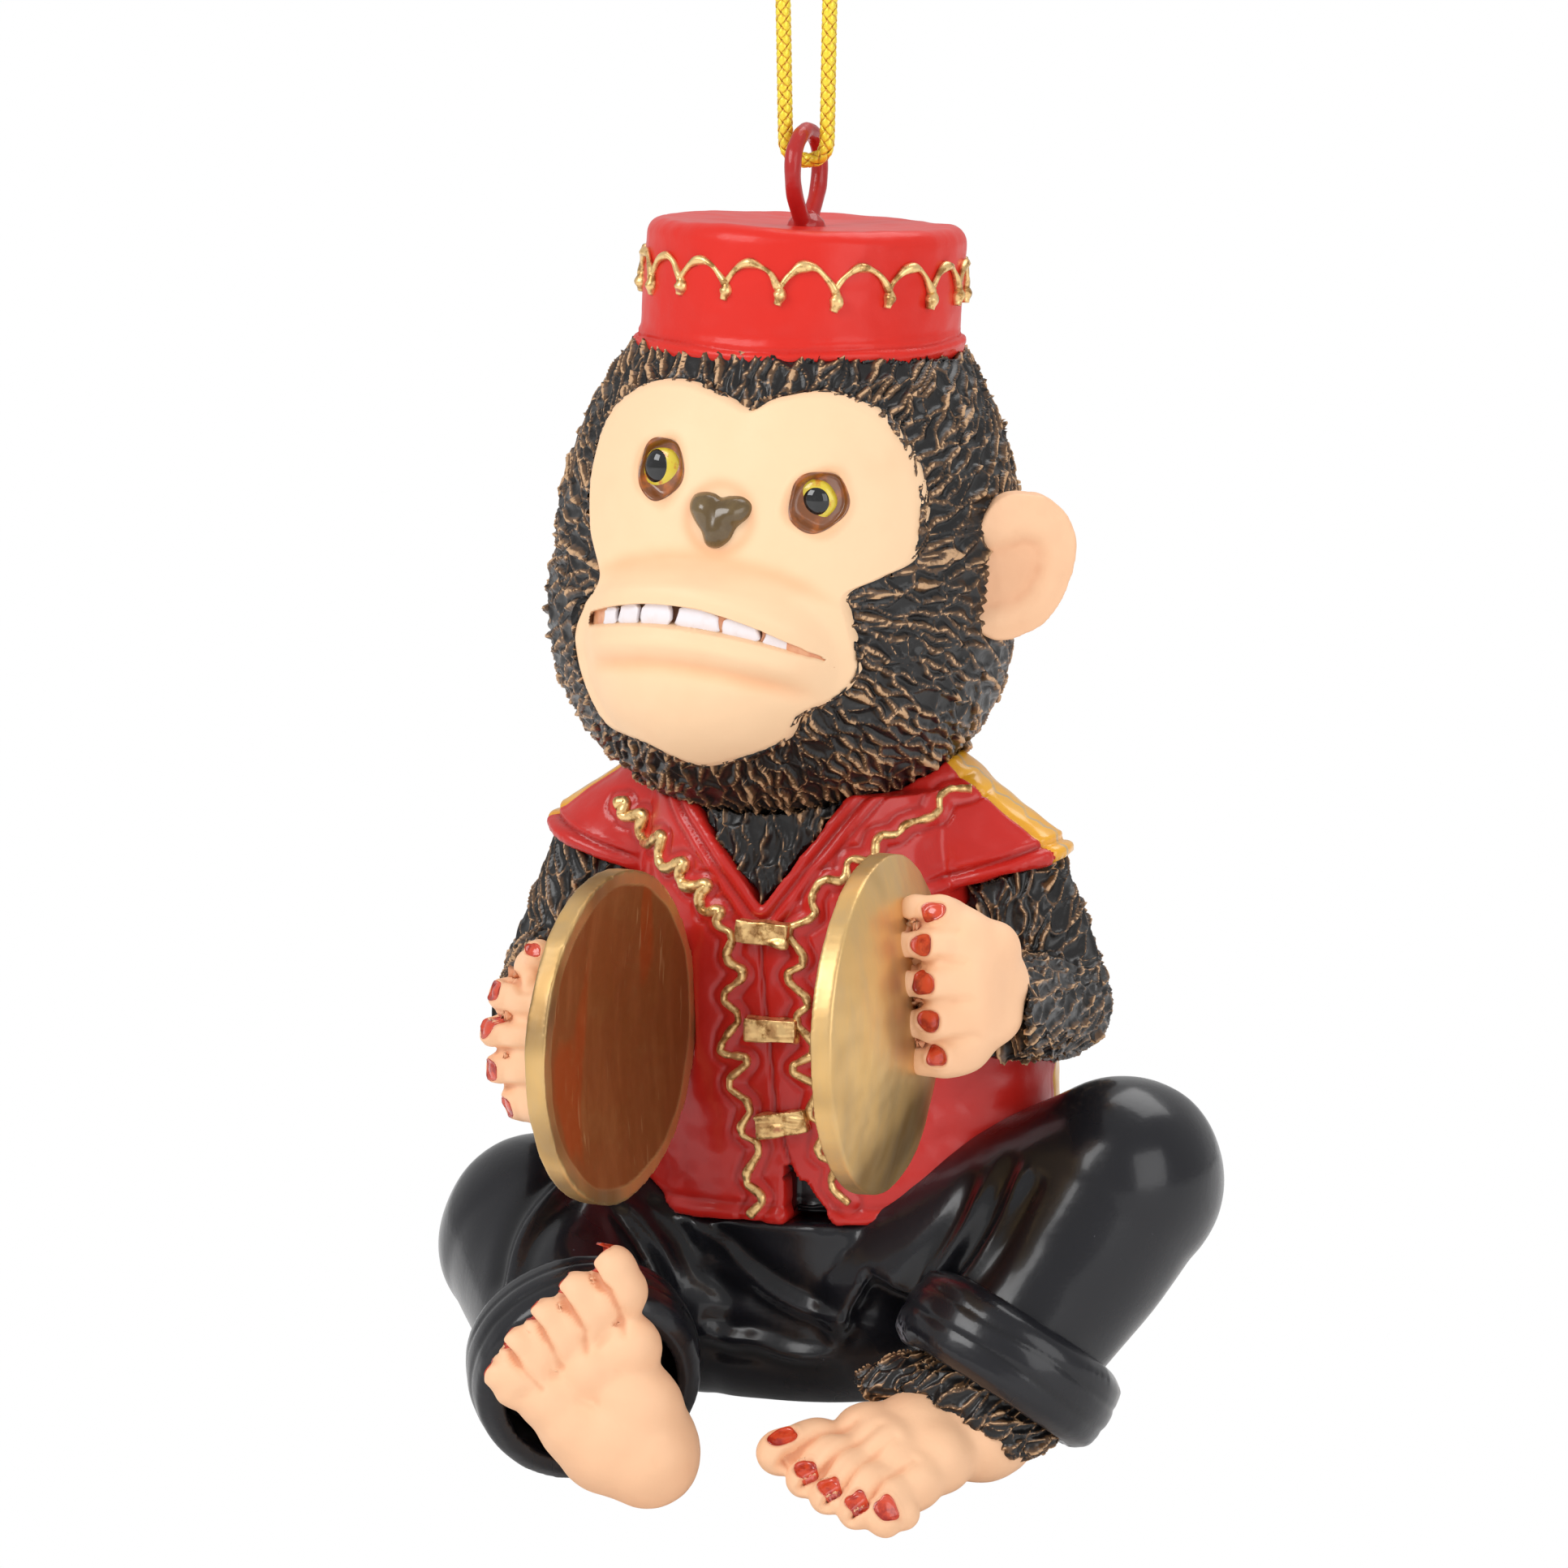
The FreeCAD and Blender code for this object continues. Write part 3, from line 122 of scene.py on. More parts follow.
# %% Signal
class Signal:
    """The output of a node, with the signs of arithmetic."""

    def __init__(self, tree, socket):
        self.tree = tree
        self.socket = socket

    def math(self, operation, *others):
        return self.tree.math(operation, self, *others)

    def __add__(self, other):
        return self.math("ADD", other)

    __radd__ = __add__

    def __sub__(self, other):
        return self.math("SUBTRACT", other)

    def __rsub__(self, other):
        return self.tree.math("SUBTRACT", other, self)

    def __mul__(self, other):
        return self.math("MULTIPLY", other)

    __rmul__ = __mul__

    def __truediv__(self, other):
        return self.math("DIVIDE", other)

    def most(self, other):
        return self.math("MAXIMUM", other)

    def smooth(self, low, high):
        """0 below low, 1 above high, and a soft step between."""
        settings = {"interpolation_type": "SMOOTHSTEP"}
        limits = {"Value": self, "From Min": low, "From Max": high}
        return self.tree.make("ShaderNodeMapRange", settings, limits)


print("Signal is ready")

# %% [markdown]
# ## Making nodes
#
# `Tree` adds all other nodes to one material or node group. Its method `make` takes the node's type,
# its settings, and the values or signals that go in. The short methods after it make the few nodes
# that every paint here needs.

# %% Tree
class Tree:
    """Adds nodes to one node tree."""

    def __init__(self, nodes):
        self.nodes = nodes

    def make(self, kind, settings=None, inputs=None, output=0):
        node = self.nodes.nodes.new(kind)
        for name, value in (settings or {}).items():
            setattr(node, name, value)
        for name, value in (inputs or {}).items():
            if isinstance(value, Signal):
                self.nodes.links.new(value.socket, node.inputs[name])
            else:
                node.inputs[name].default_value = value
        return Signal(self, node.outputs[output]) if node.outputs else node

    def math(self, operation, *values):
        return self.make("ShaderNodeMath", {"operation": operation}, dict(enumerate(values)))

    def mix(self, share, a, b):
        """Colour a where share is 0 and colour b where it is 1."""
        a, b = ((*colour, 1) if isinstance(colour, tuple) else colour for colour in (a, b))
        return self.make("ShaderNodeMix", {"data_type": "RGBA"}, {"Factor": share, 6: a, 7: b}, 2)

    def attribute(self, name):
        return self.make("ShaderNodeAttribute", {"attribute_name": name}, None, "Fac")

    def place(self):
        return self.make("ShaderNodeTexCoord", None, None, "Object")

    def noise(self, size, detail=3.0, where=None, roughness=0.5):
        """Noise whose features are about size millimetres across, from 0 to 1."""
        where = where or self.place()
        inputs = {"Vector": where, "Scale": 1000 / size, "Detail": detail, "Roughness": roughness}
        return self.make("ShaderNodeTexNoise", None, inputs)

    def bump(self, strength, height, distance=0.0001):
        inputs = {"Strength": strength, "Distance": distance, "Height": height}
        return self.make("ShaderNodeBump", None, inputs)


print("Tree is ready")

# %% [markdown]
# ## Working a form like clay
#
# The solids of the frame are clean forms: balls, cones and turned shapes. The cast figure is softer and
# rougher. `clay` takes copies of the solids, melts them into one skin with a voxel remesh, and
# gives that skin back as arrays of points and normals in millimetres, which are quick to push about.

# %% Clay
class Clay:
    """A mesh object whose points are worked on as arrays, in millimetres above the toe."""

    def __init__(self, obj):
        self.obj = obj
        self.read()

    def read(self):
        mesh = self.obj.data
        flat = np.empty(len(mesh.vertices) * 3)
        mesh.vertices.foreach_get("co", flat)
        self.points = flat.reshape(-1, 3) / MM - TO_FIGURE
        ends = np.empty(len(mesh.edges) * 2, int)
        mesh.edges.foreach_get("vertices", ends)
        self.edges = ends.reshape(-1, 2)
        self.count = np.bincount(ends, minlength=len(self.points)).clip(1)
        self.normals = self.read_normals()

    def read_normals(self):
        flat = np.empty(len(self.obj.data.vertices) * 3)
        self.obj.data.vertex_normals.foreach_get("vector", flat)
        return flat.reshape(-1, 3)

    def write(self):
        self.obj.data.vertices.foreach_set("co", ((self.points + TO_FIGURE) * MM).ravel())
        self.obj.data.update()
        self.normals = self.read_normals()

    def spread(self, values):
        """The mean of each point's neighbours."""
        out = np.empty_like(values)
        a, b = self.edges.T
        for axis in range(values.shape[1]):
            column = values[:, axis]
            total = np.bincount(a, column[b], len(values)) + np.bincount(b, column[a], len(values))
            out[:, axis] = total / self.count
        return out

    def relax(self, times):
        """Soften the skin without shrinking it: each step in is followed by a step out."""
        for _ in range(times):
            for share in (0.5, -0.52):
                self.points += (self.spread(self.points) - self.points) * share
        self.write()

    def push(self, amount):
        """Move the skin outwards by an amount in millimetres for each point."""
        self.points += self.normals * np.asarray(amount)[:, None]
        self.write()

    def mark(self, name, values):
        """Store one number per point, for the material to read."""
        layer = self.obj.data.attributes.new(name, "FLOAT", "POINT")
        layer.data.foreach_set("value", np.ascontiguousarray(values, dtype=np.float32))


def to_mesh(bm, name):
    """Turn a bmesh into a mesh and let the bmesh go."""
    mesh = bpy.data.meshes.new(name)
    bm.to_mesh(mesh)
    bm.free()
    return mesh


def applied(obj):
    """Turn an object with modifiers into a plain mesh."""
    shape = bpy.data.meshes.new_from_object(obj.evaluated_get(bpy.context.evaluated_depsgraph_get()))
    obj.modifiers.clear()
    obj.data = shape
    return obj


def clay(name, nodes, voxel, *extra):
    """Copies of the nodes' meshes, and any extra meshes, melted into one skin."""
    bm = bmesh.new()
    for node in nodes:
        bm.from_mesh(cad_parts[node].data)
    for mesh in extra:
        bm.from_mesh(mesh)
        bpy.data.meshes.remove(mesh)
    bmesh.ops.remove_doubles(bm, verts=bm.verts, dist=0.002 * MM)
    obj = linked(name, to_mesh(bm, name))
    remesh = obj.modifiers.new("melt", "REMESH")
    remesh.mode = "VOXEL"
    remesh.voxel_size = voxel * MM
    remesh.use_smooth_shade = True
    return Clay(applied(obj))


print("clay tools are ready")

# %% [markdown]
# ## Steps, hills and grain
#
# Modelling by numbers needs few forms: a soft step from 0 to 1, a round hill, and soft random grain.
# The distance to a drawn line turns a hill into a bead or a crease.

# %% Steps, hills and grain
def smooth_step(low, high, values):
    """0 at low, 1 at high, and a soft step between."""
    part = np.clip((values - low) / (high - low), 0, 1)
    return part * part * (3 - 2 * part)


def hill(distance, width):
    """1 at distance 0, falling softly on both sides."""
    return np.exp(-((distance / width) ** 2))


def beads(distance, *lines):
    """The sum of beads and grooves beside a path, each by its place, its height and its width."""
    return sum(height * hill(distance - place, width) for place, height, width in lines)


def unit(vectors):
    """The vectors made one long."""
    return vectors / np.maximum(np.linalg.norm(vectors, axis=-1, keepdims=True), 1e-9)


table = np.random.default_rng(7).permutation(256)
slopes = unit(np.random.default_rng(8).normal(size=(256, 3)))


def grain(points, size, seed=0):
    """Soft random hills and hollows about one size across, from -1 to 1."""
    cell = points / size + 31.7 * seed
    low = np.floor(cell).astype(int)
    part = cell - low
    ease = part * part * part * (part * (part * 6 - 15) + 10)
    total = np.zeros(len(points))
    for corner in np.ndindex(2, 2, 2):
        x, y, z = (low + corner).T
        slope = slopes[table[(table[(table[x & 255] + y) & 255] + z) & 255]]
        weight = np.where(corner, ease, 1 - ease).prod(1)
        total += weight * (slope * (part - corner)).sum(1)
    return total * 1.7


def curvature(skin):
    """Below zero in hollows, above zero on crests."""
    inward = skin.points - skin.spread(skin.points)
    value = (inward * skin.normals).sum(1)[:, None]
    for _ in range(3):
        value = skin.spread(value)
    return value[:, 0] / (np.abs(value).std() * 4)


def line_distance(x, z, corners):
    """Distance of each (x, z) to a line through corners, and how far along it the nearest place is."""
    spot = np.stack([x, z], 1)
    corners = np.array(corners, float)
    best, share = np.full(len(spot), 1e9), np.zeros(len(spot))
    runs = len(corners) - 1
    for number, (a, b) in enumerate(zip(corners, corners[1:])):
        run = b - a
        part = np.clip((spot - a) @ run / (run @ run), 0, 1)
        gap = np.linalg.norm(spot - a - part[:, None] * run, axis=1)
        share = np.where(gap < best, (number + part) / runs, share)
        best = np.minimum(best, gap)
    return best, share


def creases(x, z, lines, deep, wide):
    """Depth of soft creases along lines: deep and narrow where each starts, shallow and wide at its end."""
    total = np.zeros(len(x))
    for corners in lines:
        gap, share = line_distance(x, z, corners)
        total = np.maximum(total, deep * (1 - 0.72 * share) * hill(gap, wide * (0.7 + 0.9 * share)))
    return total


print("a hill 1 mm wide is", hill(np.array([0, 0.5, 1.0]), 1).round(2), "high at 0, 0.5 and 1 mm")

# %% [markdown]
# ## Beads and lines
#
# Trim, eyelids and braid are beads: an oval section swept along a path. The helpers here round a
# path's corners, share out points evenly along it, and find where a ray meets a form.

# %% Beads and lines
def solid_mesh(name, points, faces):
    """An object from points in figure millimetres, its faces turned outwards."""
    mesh = bpy.data.meshes.new(name)
    mesh.from_pydata(((points + TO_FIGURE) * MM).tolist(), [], faces)
    bm = bmesh.new()
    bm.from_mesh(mesh)
    bmesh.ops.recalc_face_normals(bm, faces=bm.faces)
    bm.to_mesh(mesh)
    bm.free()
    return linked(name, mesh)


def bead(name, path, normals, width, height, sides=10):
    """A closed bead along a path: an oval section with the given width and height at each point."""
    run = unit(np.gradient(path, axis=0))
    across = unit(np.cross(run, normals))
    angle = np.linspace(0, 2 * np.pi, sides, endpoint=False)
    ring = across[:, None] * (np.cos(angle)[:, None] * width[:, None, None] / 2)
    ring = ring + normals[:, None] * (np.sin(angle)[:, None] * height[:, None, None])
    faces = []
    for start in range(0, (len(path) - 1) * sides, sides):
        for j in range(sides):
            a, b = start + j, start + (j + 1) % sides
            faces.append((a, a + sides, b + sides, b))
    last = (len(path) - 1) * sides
    faces += [tuple(range(sides)), tuple(range(last, last + sides))[::-1]]
    return solid_mesh(name, (path[:, None] + ring).reshape(-1, 3), faces)


def tree_of(obj):
    """A tree that answers where a ray meets the object, in figure millimetres."""
    skin = Clay(obj)
    mesh = obj.data
    mesh.calc_loop_triangles()
    corners = np.empty(len(mesh.loop_triangles) * 3, int)
    mesh.loop_triangles.foreach_get("vertices", corners)
    return BVHTree.FromPolygons(skin.points.tolist(), corners.reshape(-1, 3).tolist())


def rounded(corners, times):
    """Cut the corners off a line, several times over."""
    line = np.array(corners, float)
    for _ in range(times):
        a, b = line[:-1], line[1:]
        cut = np.stack([a * 0.78 + b * 0.22, a * 0.22 + b * 0.78], 1).reshape(-1, line.shape[1])
        line = np.vstack([line[:1], cut, line[-1:]])
    return line


def along_line(line):
    """How far along a line each of its points is."""
    return np.r_[0, np.cumsum(np.linalg.norm(np.diff(line, axis=0), axis=1))]


def at_stops(line, stops):
    """The places on a line at given distances along it."""
    along = along_line(line)
    return np.stack([np.interp(stops, along, line[:, axis]) for axis in range(line.shape[1])], 1)


def evenly(line, step):
    """The same line in steps of one length."""
    length = along_line(line)[-1]
    return at_stops(line, np.linspace(0, length, max(2, int(length / step))))


def nearest(points):
    """A tree that answers which of the points is nearest."""
    search = KDTree(len(points))
    for number, spot in enumerate(points):
        search.insert(spot, number)
    search.balance()
    return search


print("10 mm in steps of 1 mm has", len(evenly(np.array([(0, 0), (10, 0)]), 1)), "points")

# %% [markdown]
# ## Balls and strands
#
# Hands, feet and locks of fur start as heaps of balls, as a modeller starts with pellets of clay. A
# soft outline is then drawn round the heap, which fills the seams between the balls.

# %% Balls and strands
def balls(name, spots):
    """A mesh of overlapping balls, each (x, y, z, radius) in figure millimetres, for the clay to melt."""
    bm = bmesh.new()
    for px, py, pz, radius in spots:
        here = Matrix.Translation((px * MM, py * MM, pz * MM + TOE_LEVEL))
        bmesh.ops.create_icosphere(bm, subdivisions=2, radius=radius * MM, matrix=here)
    return to_mesh(bm, name)


def melted(name, spots, voxel, soft):
    """A skin drawn onto the smooth outside of a heap of balls, the seams between them filled."""
    skin = clay(name, [], voxel, balls(name + "_balls", spots))
    spots = np.array(spots)
    for _ in range(6):
        arm = skin.points[:, None] - spots[None, :, :3]
        far = np.linalg.norm(arm, axis=2)
        gap = far - (spots[:, 3] - 0.5 * soft)
        near = gap.min(1)
        weight = np.exp(-(gap - near[:, None]) / soft)
        level = near - soft * np.log(weight.sum(1))
        pull = (weight[:, :, None] * arm / far[:, :, None]).sum(1) / weight.sum(1)[:, None]
        skin.points -= pull * (level / (pull**2).sum(1).clip(0.25))[:, None]
    skin.write()
    skin.relax(6)
    return skin


def strand_of(corners, step):
    """Balls along a smooth line through (x, y, z, radius) corners."""
    return evenly(rounded(corners, 2), step)


def joined(name, pieces):
    """One object from several."""
    bm = bmesh.new()
    for piece in pieces:
        bm.from_mesh(piece.data)
        bpy.data.objects.remove(piece)
    return linked(name, to_mesh(bm, name))


print("balls and strands are ready")

# %% [markdown]
# ## Fur
#
# The fur was cut into the wax model with a small gouge: long hollows, about a millimetre wide and
# three long, with thin sharp ridges left between them. That is a pattern of stretched cells, so each
# point looks for the nearest of many scattered seeds, with distances along the direction of growth
# counted at a third. The ridge stands where two seeds are equally near. Ridges across the growth are
# kept weak and each has its own height, because a hand-cut pattern is never even.

# %% Fur
CELL_STRETCH = 3.0
NEIGHBOURS = 16
SWAY = 0.42
RIDGE_WIDTH = 0.14
SHOULDER_WIDTH = 0.36


def scattered(points, pitch, rng):
    """One point picked at random from each cube of a grid, about a pitch apart."""
    order = rng.permutation(len(points))
    cube = np.floor(points[order] / pitch).astype(np.int64) + 512
    _, first = np.unique((cube[:, 0] * 1024 + cube[:, 1]) * 1024 + cube[:, 2], return_index=True)
    return order[first]


def fur(skin, growth, depth=0.75, pitch=2.0, seed=1, where=None):
    """Gouge combed hollows into a skin. growth is one direction, or one for each point."""
    rng = np.random.default_rng(seed)
    chosen = np.ones(len(skin.points), bool) if where is None else where > 0
    comb = unit(growth - skin.normals * (growth * skin.normals).sum(1)[:, None] + 0.0001)[chosen]
    sway = np.stack([grain(skin.points[chosen], 1.7, seed + axis) for axis in range(3)], 1)
    spots = skin.points[chosen] + SWAY * sway
    seeds = spots[scattered(spots, pitch, rng)]
    search = nearest(seeds)
    near = np.array([[hit[1] for hit in search.find_n(spot, NEIGHBOURS)] for spot in spots.tolist()])

    def squared(vectors, stretch=CELL_STRETCH):
        """Squared lengths, counted shorter along the comb."""
        along = (vectors * comb[:, None]).sum(2)
        return (vectors**2).sum(2) - along**2 * (1 - 1 / stretch**2)

    reach = squared(seeds[near] - spots[:, None])
    own = reach.argmin(1)[:, None]
    home = np.take_along_axis(near, own, 1)
    between = np.sqrt(squared(seeds[near] - seeds[home], CELL_STRETCH**2).clip(1e-4))
    edge = (reach - np.take_along_axis(reach, own, 1)) / (2 * between)
    np.put_along_axis(edge, own, 99.0, 1)
    wall = edge.argmin(1)[:, None]
    edge = np.take_along_axis(edge, wall, 1)[:, 0]
    pair = (home + np.take_along_axis(near, wall, 1))[:, 0]
    across = unit(seeds[near[np.arange(len(near)), wall[:, 0]]] - seeds[home[:, 0]])
    lengthwise = 1 - (across * comb).sum(1) ** 2
    strength = rng.uniform(0.35, 1.0, 2 * len(seeds))[pair] * (0.3 + 0.7 * lengthwise)
    sharp = strength * hill(edge, RIDGE_WIDTH)
    shoulder = (0.4 + 0.6 * strength) * hill(edge, SHOULDER_WIDTH)
    height = np.zeros(len(skin.points))
    wall_gap = np.ones(len(skin.points))
    height[chosen] = depth * (0.6 * sharp + 0.5 * shoulder - 0.5) + 0.16 * grain(spots, 2.6, seed + 11)
    wall_gap[chosen] = (edge / strength).clip(0, 1)
    if where is not None:
        height *= where
    skin.push(height)
    skin.mark("gap", wall_gap)
    skin.mark("patch", 0.5 + 0.5 * grain(skin.points, 4.0, seed + 5))
    print("fur gouged in", len(seeds), "cells")

# %% [markdown]
# ## Dry brushing
#
# The fur is painted nearly black, then a brush with hardly any paint on it is dragged over it, so that only
# the ridges take the brown and the tan. The carving stored how far each point is from its ridge, and the
# paint reads that. `finish_piece` paints any finished piece, hides the solids of the frame that it stands
# for, and hangs it on its body.

# %% Fur paint
def material(name):
    """An empty material, and the tree that its nodes go into."""
    made = bpy.data.materials.new(name)
    made.use_nodes = True
    made.node_tree.nodes.clear()
    return made, Tree(made.node_tree)


def finished(made, tree, shader):
    """Close a material with a shader, or with the values and signals for the main one."""
    if isinstance(shader, dict):
        shader = tree.make("ShaderNodeBsdfPrincipled", None, shader)
    tree.make("ShaderNodeOutputMaterial", None, {"Surface": shader})
    return made


FUR_DARK = (0.011, 0.010, 0.010)
FUR_BROWN = (0.15, 0.078, 0.036)
FUR_TAN = (0.64, 0.39, 0.21)


def fur_paint():
    """Near-black gloss in the hollows, with brown and then tan paint dry-brushed over the ridges."""
    made, tree = material("fur_brown")
    gap = tree.attribute("gap")
    patch = tree.attribute("patch")
    fine = tree.noise(0.5, 4.0)
    worn = gap + (fine - 0.5) * 0.16 - (patch - 0.5) * 0.08
    drag = 1 - worn.smooth(0.06, 0.14)
    stain = 1 - (worn + (fine - 0.5) * 0.3 - (patch - 0.5) * 0.3).smooth(0.12, 0.42)
    colour = tree.mix(drag, tree.mix(stain * 0.8, FUR_DARK, FUR_BROWN), FUR_TAN)
    rough = 0.30 + drag * 0.25 + (fine - 0.5) * 0.12
    normal = tree.bump(0.25, fine, 0.00012)
    inputs = {"Base Color": colour, "Roughness": rough, "Normal": normal, "Specular IOR Level": 0.45}
    return finished(made, tree, inputs)


fur_brown = fur_paint()


def finish_piece(obj, paint, *nodes, body=BODY):
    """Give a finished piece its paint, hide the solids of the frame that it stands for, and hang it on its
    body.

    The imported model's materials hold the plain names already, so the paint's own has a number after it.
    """
    obj.data.materials.clear()
    obj.data.materials.append(paint)
    obj.data.shade_smooth()
    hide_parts(*nodes)
    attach(obj, body)
    print(obj.name, len(obj.data.loop_triangles) or len(obj.data.polygons) * 2, "triangles")


def split(skin, name, keep):
    """A copy of a skin with only the faces whose first point passes keep."""
    obj = linked(name, skin.obj.data.copy())
    bm = bmesh.new()
    bm.from_mesh(obj.data)
    bm.verts.ensure_lookup_table()
    away = [face for face in bm.faces if not keep[face.verts[0].index]]
    bmesh.ops.delete(bm, geom=away, context="FACES")
    bm.to_mesh(obj.data)
    bm.free()
    return obj

# %% [markdown]
# ## The head
#
# The head leans a little to one side, so it is worked in a frame of its own. Its fur grows away from
# the face and then down the back. Under the face it is sunk, and the two finished halves are cut
# from it once the face is there.

# %% The head
HEAD_TILT = math.radians(6)
HEAD_CENTRE = np.array((-1.4, -1.0, 68.7))
to_head = np.array(Matrix.Rotation(HEAD_TILT, 3, "Y"))


def on_head(points):
    """Figure coordinates to the head's own: x to its left, y back, z to the crown."""
    return (points - HEAD_CENTRE) @ to_head


def from_head(points):
    """The head's own coordinates to the figure's."""
    return points @ to_head.T + HEAD_CENTRE


FACE_OUTLINE = [
    (1.0, 15.2), (3.2, 16.3), (6.4, 16.9), (9.9, 15.7), (12.5, 12.8), (13.9, 9.4), (14.0, 5.4),
    (12.2, 3.8), (10.3, 2.4), (10.8, -0.1), (11.5, -3.2), (10.4, -5.3), (8.0, -7.0), (6.8, -9.2),
    (3.4, -11.1), (0.4, -12.0), (-3.8, -11.0), (-7.8, -10.7), (-10.2, -8.2), (-11.5, -4.6),
    (-10.6, -1.8), (-9.2, 0.9), (-10.8, 4.4), (-11.7, 8.8), (-11.0, 12.8), (-8.2, 15.4),
    (-4.6, 16.3), (-1.2, 15.8),
]


def closed_line(corners, count):
    """Points evenly spaced along a smooth closed line through the corners."""
    p = np.array(corners, float)
    before, after, next_after = np.roll(p, 1, 0), np.roll(p, -1, 0), np.roll(p, -2, 0)
    fine = []
    for t in np.linspace(0, 1, 24, endpoint=False):
        a = 2 * p + (after - before) * t
        b = (2 * before - 5 * p + 4 * after - next_after) * t * t
        c = (3 * p - before - 3 * after + next_after) * t**3
        fine.append((a + b + c) / 2)
    line = np.stack(fine, 1).reshape(-1, p.shape[1])
    line = np.vstack([line, line[:1]])
    return at_stops(line, np.linspace(0, along_line(line)[-1], count, endpoint=False))


FACE_CENTRE = np.array((0.8, 1.5))
face_rim = closed_line(FACE_OUTLINE, 560)


def rim_share(x, z, rim=face_rim, centre=FACE_CENTRE):
    """0 at the centre of an outline, 1 on its rim, more outside."""
    arms = np.stack([x, z], 1) - centre, rim - centre
    angle, rim_angle = (np.arctan2(arm[:, 1], arm[:, 0]) for arm in arms)
    far, rim_far = (np.linalg.norm(arm, axis=1) for arm in arms)
    order = np.argsort(rim_angle)
    return far / np.interp(angle, rim_angle[order], rim_far[order], period=2 * np.pi)


head = clay("head_fur", ["head", "face"], 0.2)
head.relax(6)
own = on_head(head.points)
outward = own[:, ::2] - FACE_CENTRE
back = smooth_step(2, 12, own[:, 1])
growth = np.stack([outward[:, 0], 6 + 0 * back, outward[:, 1] * (1 - back) - 14 * back], 1)
share = np.where(own[:, 1] < -3, rim_share(own[:, 0], own[:, 2]), 3)
furred = smooth_step(0.97, 1.02, share)
fur(head, growth @ to_head.T, where=furred)
head.push(0.15 * furred - 1.4 * (1 - smooth_step(0.95, 1.0, share)))
print("the face is", np.ptp(FACE_OUTLINE, axis=0).round(1), "mm wide and tall")

# %% [markdown]
# ## The face
#
# The face is smooth, painted flesh, and slightly proud of the fur. Seen from in front, every feature
# of it has one depth, so it is made as a relief: rings of points fill the outline, and a sum of
# simple forms gives the depth. The round of the head comes first, then the ball of the muzzle, the
# rolls of the lips, the mouth's slot and the two eye bowls.

# %% Relief
def disc_faces(rings, count):
    """Faces from a middle point out over rings of points, and back in to a last point."""
    faces = []
    for i in range(count):
        j = (i + 1) % count
        faces.append((0, 1 + i, 1 + j))
        for start in range(1, 1 + rings * count, count):
            faces.append((start + i, start + count + i, start + count + j, start + j))
        last = 1 + rings * count
        faces.append((last + i, last + count, last + j))
    return faces


def relief(name, rim, centre, rings, depth, back, placing=from_head):
    """A closed solid: rings from the centre to the rim at the depth of a relief, and a flat back."""
    centre = np.array(centre, float)
    shares = np.linspace(0, 1, rings + 1)[1:]
    flat = np.vstack([centre[None], *(centre + (rim - centre) * share for share in shares)])
    front = np.stack([flat[:, 0], depth(flat[:, 0], flat[:, 1]), flat[:, 1]], 1)
    hem = front[-len(rim):].copy()
    hem[:, 1] = back
    points = np.vstack([front, hem, [[centre[0], back, centre[1]]]])
    return solid_mesh(name, placing(points), disc_faces(rings, len(rim)))


print("a disc of 3 rings of 8 points has", len(disc_faces(3, 8)), "faces")

# %% [markdown]
# ## The depth of the face
#
# Each feature of the face is a line or a spot with a hill or a groove beside it. The depth is found
# twice: bare, which the eyes and teeth need, and then with the eyes and the mouth cut into it.

# %% The depth of the face
# each eye's coats of paint as x, z, half width and half height
EYES = {"right": (-4.85, 9.95, 2.0, 2.3), "left": (7.5, 9.2, 2.05, 2.25)}
IRIS = {"right": (-4.9, 9.65, 1.6, 1.8), "left": (6.9, 9.1, 1.66, 1.68)}
PUPIL = {"right": (-5.3, 9.9, 1.12, 1.36), "left": (7.15, 9.15, 1.16, 1.2)}
EYE_TILTS = {"right": 0.35, "left": -0.25}
MUZZLE_RADIUS = 11.6
MUZZLE_DEPTH = 9.6
MUZZLE_LEVEL = -3.0
MOUTH_CORNERS = (-9.6, 10.1)


def upper_lip(x):
    """The edge of the upper lip; it meets the lower one round the figure's left corner."""
    return 0.62 - 0.030 * (x + 0.5) ** 2 - 0.9 * smooth_step(9.2, 10.3, x)


def lower_lip(x):
    """The edge of the lower lip."""
    return -1.0 - 0.020 * (x - 0.5) ** 2


def lip_fold(x):
    """The crease where the muzzle starts under the nose."""
    return 3.3 - 0.026 * (x - 0.8) ** 2


def eye_reach(side, x, z):
    """1 on the uneven edge of an eye bowl, 0 in its middle."""
    cx, cz, wide, tall = EYES[side]
    u, v = (x - cx) / wide, (z - cz) / tall
    angle = np.arctan2(v, u)
    return np.hypot(u, v) * (1 + 0.05 * np.sin(3 * angle + cx) + 0.03 * np.sin(5 * angle - cx))


